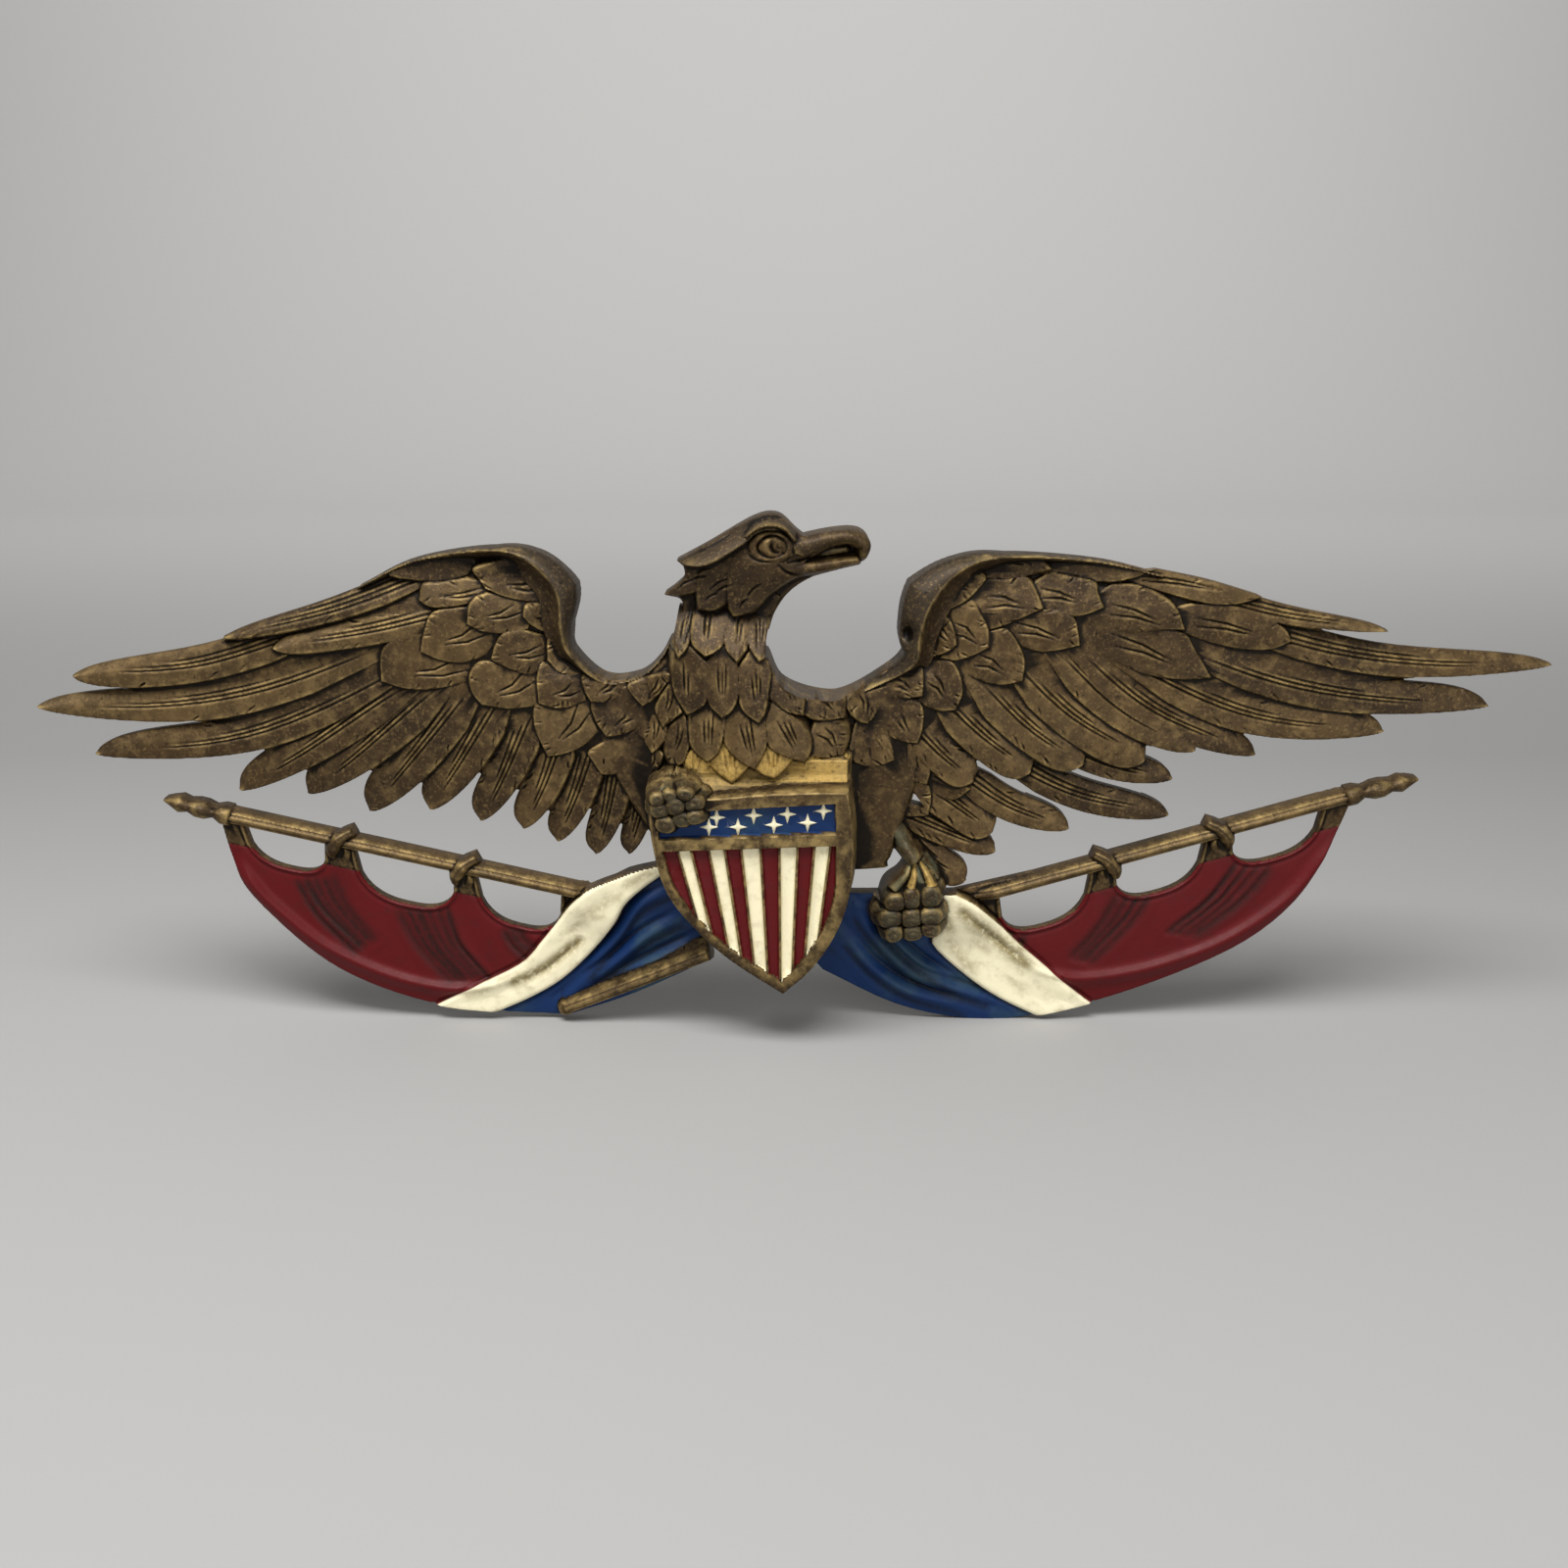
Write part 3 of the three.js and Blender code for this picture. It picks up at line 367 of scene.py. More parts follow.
plume((-126, 86), [(-150, 83), (-162, 77.5)], (-158, 75.5), [(-142, 73.8), (-130, 75.5), (-123, 80.5)],
      cuts=None, grow=True)
for shape in [
    ((-86, 75), [(-110, 84), (-124, 80), (-122.5, 76)], (-119, 71), [(-111, 67.5), (-102, 65.5), (-93, 64)]),
    ((-112, 72), [(-128, 75.5), (-140, 73.5), (-147, 73)], (-148.5, 66),
     [(-144, 63.2), (-136, 62.8), (-126, 64.5)]),
    ((-96, 64), [(-113, 68.5), (-120, 69), (-126, 65)], (-127.5, 55.5),
     [(-121, 52.3), (-111, 51), (-101, 53)]),
    ((-84, 57), [(-94, 64.5), (-101, 64)], (-102.5, 59), [(-99, 55), (-91, 49.5), (-86, 47)]),
    ((-112, 55), [(-127, 63), (-142, 61), (-147, 52)], (-149, 43),
     [(-140, 39), (-130, 38), (-122, 40.5), (-115, 46)]),
    ((-120, 43), [(-150, 52), (-163, 47), (-167, 41)], (-167.5, 29.5),
     [(-155, 25.8), (-141, 26.3), (-127, 30)]),
    ((-88, 48), [(-104, 53), (-112, 51), (-115.5, 46)], (-117.5, 39.5),
     [(-110, 35.5), (-102, 32.5), (-96, 34)]),
    ((-76, 42), [(-85, 50), (-92, 49)], (-92.7, 38.5), [(-88, 33.5), (-82, 32.3), (-76, 32.3)]),
    ((-93, 38), [(-110, 37), (-122, 38.5), (-127.5, 33), (-127, 25)], (-123, 19),
     [(-112, 17), (-104, 17.3), (-97, 18.5)]),
    ((-74, 33), [(-86, 36), (-95, 37.5), (-97.5, 31)], (-97, 19.5), [(-90, 17.3), (-84, 17.5), (-76, 20.5)]),
    ((-76, 24), [(-92, 19), (-99, 18.5), (-99.3, 8)], (-94, -5.3), [(-86, -4), (-78, -0.5), (-71, 6)]),
    ((-58, 33), [(-68, 33), (-77, 32), (-76, 25)], (-73.5, 20.3), [(-67, 20), (-61, 22.5), (-57, 26.5)]),
    ((-52, 23), [(-62, 23), (-73, 20), (-72, 12)], (-67, 4), [(-60, 5), (-53, 8), (-49, 13)]),
    ((-52, 6), [(-64, 4), (-75, -3), (-73.5, -8)], (-70, -14),
     [(-64, -14), (-58, -11), (-54, -5), (-49, -1)]),
]:
    plume(*shape)

feather((205, 58), (361, 36), 7.6, RIGHT, free=3.4, tucked=3.4, bend=9)
feather((185, 47), (334.5, 17), 8.7, RIGHT, free=3, tucked=12, bend=9)
feather((160, 44), (287.5, 5.5), 9, RIGHT, tucked=14, bend=11)
feather((142, 48), (229, -5), 8.6, RIGHT, tucked=9, bend=7)
feather((132, 48), (201, -2.5), 9.5, RIGHT, free=5, tucked=9, bend=5)
feather((116, 40), (178, -7), 10.5, RIGHT, bend=4, **BLUNT)
feather((99, 33), (150, -8.5), 10.5, RIGHT, bend=3, **BLUNT)
feather((84, 24), (126, -12.5), 10, RIGHT, bend=2, **BLUNT)
feather((70, 12), (100, -17), 9, RIGHT, bend=1, **BLUNT)
feather((132, 4), (191.5, -16), 7.5, RIGHT, tucked=6, bend=3)
feather((112, -6), (191.5, -34), 7.5, RIGHT, free=5, tucked=6, bend=5)
feather((92, -12), (145.5, -40.5), 7.5, RIGHT, tucked=8, bend=4)
feather((76, -18), (110.5, -42), 9.5, RIGHT, **BLUNT)
feather((66, -32), (112, -52), 7, RIGHT, free=6, tucked=9, bend=1)
feather((62, -36), (99, -67), 8, RIGHT, bend=3, **BLUNT)
feather((190, 72.5), (285, 51.5), 6, RIGHT, slim=0.4, free=9, tucked=12, bend=3)

for shape in [
    ((128, 84), [(150, 83), (165, 81.5)], (179, 79.5), [(168, 75), (155, 73.5), (143, 75.5), (131, 78.5)]),
    ((98, 84), [(115, 85), (127, 84)], (132, 79.5), [(122, 76.5), (112, 74.5), (103, 75)]),
    ((85, 72), [(97, 80), (103, 76)], (99.5, 70.5), [(95, 66), (90, 63), (84, 60)]),
    ((76, 52), [(84, 60), (88, 56), (90, 50)], (90.5, 46), [(86, 42.5), (80, 40), (73, 38.5)]),
    ((93, 66), [(103, 75), (113, 75), (121, 76), (125, 71)], (128.5, 62.5),
     [(120, 58.5), (111, 54.5), (103, 52)]),
    ((119, 70), [(132, 78), (143, 76), (152, 73.5), (153, 69)], (155.5, 62.8),
     [(147, 59.5), (138, 59), (129, 62)]),
    ((84, 55), [(90, 64), (97, 66), (101, 60), (104.5, 53)], (105, 45), [(98, 41.3), (91, 39), (84, 39.5)]),
    ((93, 44), [(105, 52), (113, 53), (119, 45), (121.3, 38)], (120.5, 29.8),
     [(112, 28), (103, 29.3), (96, 32.5)]),
    ((108, 57), [(120, 60), (132, 62), (142, 58.5), (144.5, 52)], (145.5, 46),
     [(137, 43.8), (128, 43), (120, 45)]),
    ((149, 66), [(160, 73), (172, 72), (183, 67), (189, 61)], (192.5, 52.7),
     [(181, 52.5), (170, 51.5), (160, 52.5), (150, 55.5)]),
    ((144, 52), [(155, 56), (175, 54), (192, 51), (198, 43)], (206, 30.8),
     [(195, 30), (183, 31), (171, 34), (160, 39), (148, 45)]),
    ((178, 60), [(195, 64), (213, 63), (228, 58.5), (238, 52.5)], (241.5, 46.8),
     [(233, 43.5), (222, 43.3), (209, 45.5), (194, 50)]),
]:
    plume(*shape)
plume((158, 77), [(180, 79), (204, 74)], (227, 67.2), [(216, 64), (204, 64), (190, 67), (172, 72)],
      grow=True)
for shape in [
    ((74, 34), [(82, 38.5), (89, 38), (93, 31), (93.8, 24)], (91, 16.5), [(84, 16), (78, 17.8), (74, 20.5)]),
    ((57, 33), [(66, 38), (74.8, 38), (76, 31)], (75.8, 22.8), [(68, 21.8), (61, 22.8), (55, 24.5)]),
    ((57, 19), [(66, 21.5), (74, 20.5), (76.5, 15), (76, 7)], (74, 1), [(67, 1.8), (61, 4.5), (56, 9)]),
    ((66, 4), [(74, 1), (80.5, -6), (80.5, -12)], (79, -19), [(74, -18), (69, -14.5), (65, -9), (62.5, -3)]),
    ((65, -18), [(70, -15), (79, -19), (81.2, -26)], (80, -34.3), [(74, -35), (69, -35), (65, -33)]),
    ((79, -13), [(85, -13), (92, -17)], (99, -21.3), [(93, -26.3), (87, -26.8), (80, -25)]),
]:
    plume(*shape)

# Rolled leading edges
# Each wing's leading edge was carved as a smooth roll round the wrist: a crest, a rounded face turned out to
# the light and a hollow one that falls to the coverts.
CREST = [15, 17, 20, 24, 26, 26, 24, 19, 17, 17, 17]
INNER = [3, 5, 8, 10, 10, 9, 7, 5, 3, 2, 1]
OUTER_DROP, INNER_DROP = 7, 9


def rolled_edge(spine, outer, facing):
    """One leading edge: its crest's line, the widths of its outer face, and the side that it faces."""
    window, t, s, across, length = follow(spine, 16)
    out = across * facing > 0
    wide = np.where(out, spread(outer, t), spread(INNER, t))
    u = np.clip(np.abs(across) / wide, 0, 1)
    edge = np.minimum(wide - np.abs(across), np.minimum(s, length - s))
    drop = np.where(out, OUTER_DROP * u**2, INNER_DROP * (1 - (1 - u) ** 2))
    # The whole roll is darkened. The grey covers its outer face, so on the hollow inner face the darkening is
    # painted shade.
    lay(window, spread(CREST, t) - drop, edge, 0.5, flank=np.where(out, FLANK, 1.0),
        bare=np.where(out, 1.0, 0.0), tone=-1.5)


rolled_edge([(-176, 71), (-150, 83), (-114.5, 88), (-97, 82.5), (-86.5, 70), (-85.4, 55), (-82.8, 43),
             (-68.5, 28.8), (-52, 30.5), (-42, 38.6), (-35.8, 50)],
            [1, 1.2, 1.6, 5.5, 8.5, 4.5, 2.5, 2, 1, 1, 1], LEFT)
rolled_edge([(182, 76), (152, 82.6), (112, 85), (92, 80), (79.5, 67), (74, 52), (72.5, 39), (60, 29.5),
             (37, 20.8), (13.3, 27), (5.3, 42)],
            [1, 1.2, 1.6, 5.5, 12, 9, 6, 4, 1.5, 1.5, 1], RIGHT)
dimple_x, dimple_z, dimple_deep = 69, 51, 7
window = window_round(np.array([(dimple_x, dimple_z)], float), 12)
dx, dz = X[window] - dimple_x, Z[window] - dimple_z
height[window] -= dimple_deep * np.exp(-((dx / 3.2) ** 2) - (dz / 4.6) ** 2)

# Neck and breast
# The body stands highest, rounded from side to side, and wears four rows of pointed plumes; the lowest row
# and the ledge under it were picked out in gold.
BODY_HEIGHT, BODY_FALL = 18, 5
LEDGE_FALL, LEDGE_RISE = 5.2, 4.5
body_runs = [
    [(-33, 64), (-36, 50), (-42, 39.5), (-50, 32), (-60, 28.5), (-76, 30)],
    [(-76, 30), (-68, -8), (-47, -46)],
    [(-47, -46), (-36, -62), (52, -61), (62, -57), (66, -46)],
    [(66, -46), (76, -10), (70, 33)],
    [(70, 33), (54, 27.5), (33, 21.8), (14, 27.6), (5.3, 43), (8, 61)],
    [(8, 61), (-33, 64)],
]
window, edge = within(outline(body_runs))
lay(window, BODY_HEIGHT - BODY_FALL * (1 - np.clip(edge / 3, 0, 1)) ** 2, edge, tone=-0.8)
strip([(-8, 80), (-11.5, 61), (-13.5, 42), (-8, 25), (-3, 8), (0, -9)], [17, 20.5, 22, 26, 40, 44],
      [16, 19, 27, 30.5, 32, 31.5], rounded(17, 2.6), tone=-0.6, grow=False)
ledge = [(-28, -13), (-22, -19), (0, -17), (20, -16), (42, -16), (42, -4), (-22, -4)]
window, edge = within(np.array(ledge, float))
lay(window, BREAST_HEIGHT - LEDGE_FALL + LEDGE_RISE * ease(-10, -18, Z[window]), edge, 0.6, gold=0.95)


def cut_plume(top, u, v, root, tip, edge, wide):
    """Breast feathers: a few long strokes side by side."""
    root, tip = np.array(root, float), np.array(tip, float)
    way = tip - root
    side = np.array((-way[1], way[0])) / np.linalg.norm(way)
    for gap in (-0.12, 0.02, 0.14)[: carver.integers(2, 4)]:
        start = root + way * carver.uniform(0.25, 0.42) + side * wide * gap
        stop = root + way * carver.uniform(0.7, 0.82) + side * wide * gap * 0.6
        engrave(top, u, v, [start, stop], 0.8, 0.5)
    for _ in range(PLUME_NICKS):
        spot = edge[int(len(edge) * carver.uniform(0.2, 0.8))]
        stop = spot + (root - spot) / np.linalg.norm(root - spot) * carver.uniform(2, 3.5)
        engrave(top, u, v, [spot, stop], 0.4, 0.4)


neck = {"cuts": cut_plume, "lift": (-10, 1.8), "tone": -0.8}
long = {"cuts": cut_plume, "lift": (-2.2, 2)}
gilt = {"cuts": cut_plume, "lift": (-2.2, 0.4), "gold": 0.9}
small = {"lift": (-2.6, 0.8)}
flank = {"lift": (-4.4, 1.6), "tone": 0.5}
plume((-27, 68), [(-35.5, 64), (-36, 50)], (-33.2, 42.1), [(-30, 45.5), (-27.7, 50), (-22, 66)], bare=0.7,
      **neck)
for shape in [
    ((-18, 70), [(-26, 66), (-27.5, 50)], (-21.2, 43.5), [(-16.5, 45.5), (-12.5, 50), (-9, 66)]),
    ((-4, 68), [(-13, 66), (-12.5, 48)], (-7.2, 41.3), [(-4.5, 44.5), (-2.2, 48.7), (0, 66)]),
]:
    plume(*shape, **neck)
plume((3, 66), [(-4, 64), (-2.2, 48.5)], (2.6, 41.5), [(5.4, 44), (6.6, 54), (9, 64)], bare=0.4, **neck)
for shape in [
    ((-29, 48), [(-36, 44), (-36.5, 35), (-35, 25)], (-29.5, 17), [(-25, 19.5), (-20.5, 24.3), (-20, 40)]),
    ((-14, 50), [(-21, 40), (-20.5, 24)], (-13.8, 16.5), [(-9.5, 20), (-6.5, 27), (-7, 40)]),
    ((0, 48), [(-7, 38), (-6, 23), (-2, 17.5)], (2.5, 14.7), [(5, 19), (6.5, 26), (8, 38)]),
    ((-20, 26), [(-29, 17), (-28.5, 4), (-25, -1)], (-20.5, -4), [(-16, 0.5), (-13.5, 8), (-12, 18)]),
    ((-6, 24), [(-13.5, 15), (-12.5, 4), (-6, -3)], (0.5, -6.3), [(4, 0), (6, 6), (5, 16)]),
    ((8, 24), [(4, 14), (7, 3.5), (13, -0.5)], (22.5, -4), [(25, 0), (25.5, 6), (21, 14)]),
]:
    plume(*shape, **long)
plume((27, 13), [(34, 15), (40.5, 12), (42.3, 5)], (40, -2.5), [(34, -3.3), (28, -2.5), (22, -1)])
for shape in [
    ((-25, 4), [(-32, -4.5), (-31, -9)], (-27, -12.7), [(-22, -9), (-18, -4)]),
    ((-11.5, 8), [(-21, -4.5), (-16, -9.5)], (-10, -13.6), [(-6, -10), (-1, -4)]),
    ((8, 7), [(-1, -5.5), (4, -9.3)], (9, -11.2), [(13, -8), (19, -1)]),
    ((24, 2), [(18, -2.5), (24, -9), (31, -12)], (41, -13.3), [(42, -8), (41, -1)]),
]:
    plume(*shape, **gilt)
for shape in [
    ((-40, 34), [(-50, 31), (-57, 27)], (-50.5, 18), [(-45, 21.5), (-40, 28), (-35, 33)]),
    ((-37, 31), [(-42, 23), (-44.5, 17)], (-41, 9.5), [(-37, 13), (-32, 17)]),
    ((-43, 17), [(-47, 14), (-50.5, 8), (-49.5, 1)], (-46.5, -3.5), [(-43, 0), (-39.5, 5), (-39, 12)]),
    ((-31, 17), [(-38, 10), (-40.3, 3), (-40, -4)], (-37.5, -8.5), [(-32, -6), (-29.5, 0), (-28, 5)]),
    ((-46, 1), [(-52.5, -3), (-51.5, -10)], (-48.5, -16), [(-44, -11), (-41, -4)]),
    ((8, 36), [(16, 31), (22.3, 26)], (22, 17.3), [(16, 18.5), (11, 21.5), (6.5, 25)]),
    ((25, 28), [(33, 28), (40.5, 23)], (40.3, 14.5), [(33, 14), (27, 14.5), (21, 18)]),
    ((47, 28), [(40, 21), (44, 15), (48, 11.5)], (51.5, 10.3), [(54, 13), (56, 18), (55.5, 24)]),
]:
    plume(*shape, **small)
plume((46, 12), [(56, 9), (61, 3), (63, -3)], (63.5, -7), [(58, -9.5), (52, -10), (46, -7.5), (42, -3.5)],
      lift=(-4, 1.6), tone=0.4)
for shape in [
    ((44, -8), [(55, -9.5), (66, -11), (67.2, -18)], (66.5, -27.3), [(58, -27), (50, -26), (43, -24)]),
    ((45, -25), [(56, -27), (66, -32), (67.3, -39)], (66.3, -46.5), [(58, -46), (51, -43), (45, -40.5)]),
]:
    plume(*shape, **flank)

# Head
# The head looks to the viewer's right: a smooth cap that overhangs the eye, a hooked beak parted by the
# mouth, and a fringe of cheek feathers over the neck.
SKULL_HEIGHT, FACE_HEIGHT, CHEEK_SWELL, BROW_HEIGHT = 20.0, 25, 6, 35
CROWN_FALL, CROWN_ROUND, SIDE_FALL = 10, 11, 3.5
head_runs = [
    [(-33.6, 84.4), (-19.5, 91.9), (-5.6, 100.1), (1.4, 103.6), (7, 105), (12.5, 103.8), (18.4, 98.2),
     (21.8, 95.4)],
    [(21.8, 95.4), (33, 97.7), (43, 98.5), (48.6, 96.5), (51.3, 91.5), (50, 86.5), (46.5, 82)],
    [(46.5, 82), (34.9, 79.6), (24, 75.5), (15.5, 69.5), (9.8, 61.5), (7, 54)],
    [(7, 54), (-12, 52), (-32, 57)],
    [(-32, 57), (-31.4, 64.5), (-34, 67.6), (-39, 69.2)],
    [(-39, 69.2), (-31.5, 73), (-28.6, 78.5), (-30, 81.5), (-33.6, 84.4)],
]
brow_runs = [
    [(-36, 85.6), (-31.5, 83.6), (-27.6, 82.7), (-21.9, 82.9), (-15.5, 85.3), (-8.4, 89.6), (-2.7, 93.4),
     (0.8, 96.6), (5.8, 98.4), (10.7, 98.1), (14.9, 96.2), (17.4, 92.4), (18.4, 88.2)],
    [(18.4, 88.2), (24, 89), (30, 112), (-40, 112)],
    [(-40, 112), (-36, 85.6)],
]
temple_runs = [[(-31, 83), (-10, 76), (6, 76), (21, 80)], [(21, 80), (23, 95), (-8, 97), (-31, 83)]]


def whole(window, values, elsewhere=-9.0):
    """Values of one window set in the whole relief."""
    out = np.full(X.shape, elsewhere)
    out[window] = values
    return out


def face_level(x, z):
    """The height of the face, swollen at the cheek."""
    return FACE_HEIGHT + CHEEK_SWELL * np.exp(-(((x - 4) / 22) ** 2) - ((z - 84) / 13) ** 2)


def groove(path, depth=0.8, wide=0.5):
    """Cuts a stroke into whatever is there."""
    line = curve(path, 5)[0]
    window = window_round(line, 4)
    engrave(height[window], X[window], Z[window], line, depth, wide)


head_window, head_edge = within(outline(head_runs))
lay(head_window, np.full(head_edge.shape, SKULL_HEIGHT), head_edge, 1.5)
# The face's plumes and the temple are darkened: painted shade over the head.
for root, first, tip, second, lift, tone in [
    ((6, 72), [(0, 64), (1.5, 60)], (4.5, 57.8), [(8, 61), (12, 68)], (-5, -4), -2),
    ((-8, 84), [(-31, 84), (-30, 78), (-34, 73.5)], (-39.3, 69.7), [(-33, 69.3), (-24, 71)], (0, 1.5), -1.7),
    ((-4, 86), [(-22, 84), (-24.8, 74)], (-23.9, 63.2), [(-18, 62.8), (-11.6, 66.1), (-8, 72)], (0, 2), -1.7),
    ((6, 90), [(-10, 86), (-11.5, 74), (-10.8, 65)], (-8.8, 60.3),
     [(-5, 61), (0.6, 63.2), (8, 71), (15, 76), (22, 79.5)], (0, 2.5), -1.7),
]:
    plume(root, first, tip, second, lift, cuts=None, level=face_level, grow=True, tone=tone)
window, edge = within(outline(temple_runs))
lay(window, face_level(X[window], Z[window]) + 0.6, edge, 0.3, flank=1.0, tone=-1.2)

# The beak: its lower half, the tongue, and the hooked upper half.
strip([(12, 81.2), (24, 81.6), (34, 82.9), (46, 85)], [4, 2.9, 2.8, 1.8], [29.5, 29.5, 29, 28],
      rounded(3, 2.4), grow=False)
strip([(24, 86), (32, 88.6), (41, 89.6)], [0.8, 2, 1.5], [26, 27, 26.5], rounded(1.5, 2), patina=0.3)
strip([(14, 90.5), (24, 91), (33, 94.3), (42, 95.3), (48.2, 92), (48, 86)], [8, 4.9, 3.6, 3.2, 3.3, 1.9],
      [31.5, 32, 33, 33, 32, 30], rounded(4, 2.2), tone=-0.8, bare=0.3, grow=False)

# The cap falls away to the crown and to the beak, and has a lip over the eye.
brow_window, brow_edge = within(outline(brow_runs))
brow = np.minimum(whole(brow_window, brow_edge)[head_window], head_edge)
beside = np.clip((X[head_window] - 18) / 8, 0, 1)
crown_window, _, _, below, _ = follow(head_runs[0], 24)
below = whole(crown_window, -below)[head_window]
cap_top = BROW_HEIGHT - CROWN_FALL * (1 - np.clip(below / CROWN_ROUND, 0, 1)) ** 2 - SIDE_FALL * beside
# The cap is darkened too: painted shade over the head.
lay(head_window, cap_top, brow, flank=6, tone=-1.2, bare=0.5)
strip([(-3, 95.6), (2, 99.4), (8, 100.8), (14, 99), (18, 94)], [0.4, 0.8, 1, 0.8, 0.4], BROW_HEIGHT + 0.3,
      rounded(1.4, 2), bare=0.3)


def boss(x, z, wide, tall, top, deep, squareness=2.0, turn=0.0, **paints):
    """A rounded boss, such as an eye or a knuckle: an oval, or squarer."""
    window = window_round(np.array([(x, z)], float), max(wide, tall) + 3)
    dx, dz = X[window] - x, Z[window] - z
    c, s = math.cos(math.radians(turn)), math.sin(math.radians(turn))
    r = (np.abs((dx * c + dz * s) / wide) ** squareness + np.abs((dz * c - dx * s) / tall) ** squareness)
    r = r ** (1 / squareness)
    dome = top - deep * (1 - np.sqrt(np.clip(1 - r**3, 0, 1)))
    lay(window, dome, (1 - r) * min(wide, tall), 0.01, **paints)


def ring(x, z, wide, tall, top, broad):
    """A raised oval ring."""
    window = window_round(np.array([(x, z)], float), max(wide, tall) + 3)
    r = np.hypot((X[window] - x) / wide, (Z[window] - z) / tall)
    off = np.abs(r - 1) * (wide + tall) / 2
    lay(window, top - 0.9 * (off / broad) ** 2, broad - off, 0.01)


ring(8, 91, 8, 5.8, 32, 1.4)
boss(8.6, 91.2, 6.6, 4.8, 33.4, 3.6)
for path, depth, wide in [
    ([(3, 92), (5.4, 95), (9.4, 95.8), (13, 94)], 1.1, 0.6),
    ([(8.6, 93.4), (8, 91), (9.6, 89), (12.4, 89)], 1.9, 1.0),
    ([(10.6, 92), (10.8, 90.8), (12.6, 90.6)], 1.1, 0.6),
    ([(-2.5, 88), (1, 85.6), (6, 84.6), (12, 85.4)], 0.6, 0.6),
    ([(11, 83), (15, 79.8), (20, 78.6), (26, 80)], 1.2, 0.6),
    ([(15, 84), (22, 85.6), (27, 88.6)], 1.0, 0.55),
]:
    groove(path, depth, wide)
for start, end in [
    ((-25, 79), (-18, 81.5)), ((-27, 76), (-20, 78)), ((-19, 72), (-11, 77)), ((-17, 70), (-9, 74.5)),
    ((-3, 68.5), (3.5, 75)), ((-33, 72), (-27, 76)), ((-21, 67), (-16, 70)), ((-6, 64), (-2, 68)),
]:
    groove([start, ((start[0] + end[0]) / 2 - 0.5, (start[1] + end[1]) / 2 + 0.5), end])

# Shield
# A pointed shield hangs on the breast, its frame standing proud: above it a blue field with small cast
# crosses for stars, below it red and off-white stripes parted by thin ribs.
SHIELD_HEIGHT, SHIELD_RECESS = 45, 3
POINT_X, STRIPES_TOP = 12.5, -42.5
STRIPES_CLOSE = 0.0055  # share of the way to the point's line for each millimetre down
RIB_FALL, RIB_HALF, RIB_SLOPE = 1.3, 0.55, 3
STAR_WIDE, STAR_TALL, STAR_HALF, STAR_RISE = 4.1, 4.4, 1.15, 0.8
face_runs = [
    [(-46.5, -19), (-45.4, -38.4), (-39.7, -61.4), (-26.8, -79.5), (-11, -94.6), (13, -111)],
    [(13, -111), (26, -98.9), (36.5, -82.8), (43, -63.7), (44.5, -38.4), (42, -15)],
    [(42, -15), (9.6, -15.8), (-22.4, -18.4), (-46.5, -20)],
]
field_runs = [[(-42.5, -25), (-42.5, -37.5)], [(-42.5, -37.5), (37, -34.6)], [(37, -34.6), (36.5, -20.6)],
              [(36.5, -20.6), (-42.5, -25)]]
stripe_runs = [
    [(-41, -42.7), (-35.5, -61), (-23.5, -77.5), (-9, -91), (12.5, -105.5)],
    [(12.5, -105.5), (22, -95), (31, -80.5), (36.5, -63), (37, -40)],
    [(37, -40), (-41, -42.7)],
]
rib_tops = [-34, -28, -20, -13, -5.5, 3, 11.5, 19.5, 27, 34]
stars = [(-20, -32), (-16.5, -27.5), (-7, -32), (0, -26.5), (9, -31), (15, -26), (24, -30), (31, -24.5)]


def painted_edge(edge):
    """A coat of paint by how far a point lies inside it: half at its very edge, which stays crisp so."""
    return np.clip(0.5 + edge / 5, 0, 1)


def stripe_lean(x, z):
    """Where a line that starts at x under the blue field has got to at z: the stripes close downward."""
    return mix(x, POINT_X, STRIPES_CLOSE * (STRIPES_TOP - z))


window, edge = within(outline(face_runs))
lay(window, np.full(edge.shape, float(SHIELD_HEIGHT)), edge, 1.2, flank=8, tone=-1.1)
field_window, field = within(outline(field_runs))
stripe_window, stripes = within(outline(stripe_runs))
for window, edge in ((field_window, field), (stripe_window, stripes)):
    height[window] -= SHIELD_RECESS * np.clip(edge / 0.7, 0, 1)
paint["blue"][field_window] = painted_edge(field - 0.3)

x, z = X[stripe_window], Z[stripe_window]
edges = [-60, *rib_tops, 60]
for i, (one, next_one) in enumerate(zip(edges, edges[1:])):
    between = np.minimum(x - stripe_lean(one, z), stripe_lean(next_one, z) - x) - 0.6
    coat = paint["red" if i % 2 == 0 else "white"]
    coat[stripe_window] = np.maximum(coat[stripe_window], painted_edge(np.minimum(between, stripes - 0.3)))
for top_x in rib_tops:
    off = np.abs(x - stripe_lean(top_x, z))
    rib = SHIELD_HEIGHT - RIB_FALL - RIB_SLOPE * np.maximum(0, off - RIB_HALF)
    on = (rib > height[stripe_window]) & (stripes > 0)
    height[stripe_window] = np.where(on, rib, height[stripe_window])

for star_x, star_z in stars:
    window = window_round(np.array([(star_x, star_z)], float), 6)
    dx, dz = np.abs(X[window] - star_x), np.abs(Z[window] - star_z)
    arms = np.maximum(STAR_HALF * (1 - dx / STAR_WIDE) - dz * 0.9,
                      STAR_HALF * (1 - dz / STAR_TALL) - dx * 0.9)
    star = SHIELD_HEIGHT - SHIELD_RECESS + np.clip(arms * 2.2, -1, STAR_RISE)
    height[window] = np.maximum(height[window], star)
    paint["white"][window] = np.maximum(paint["white"][window], np.clip(0.5 + arms / 1.8, 0, 1))

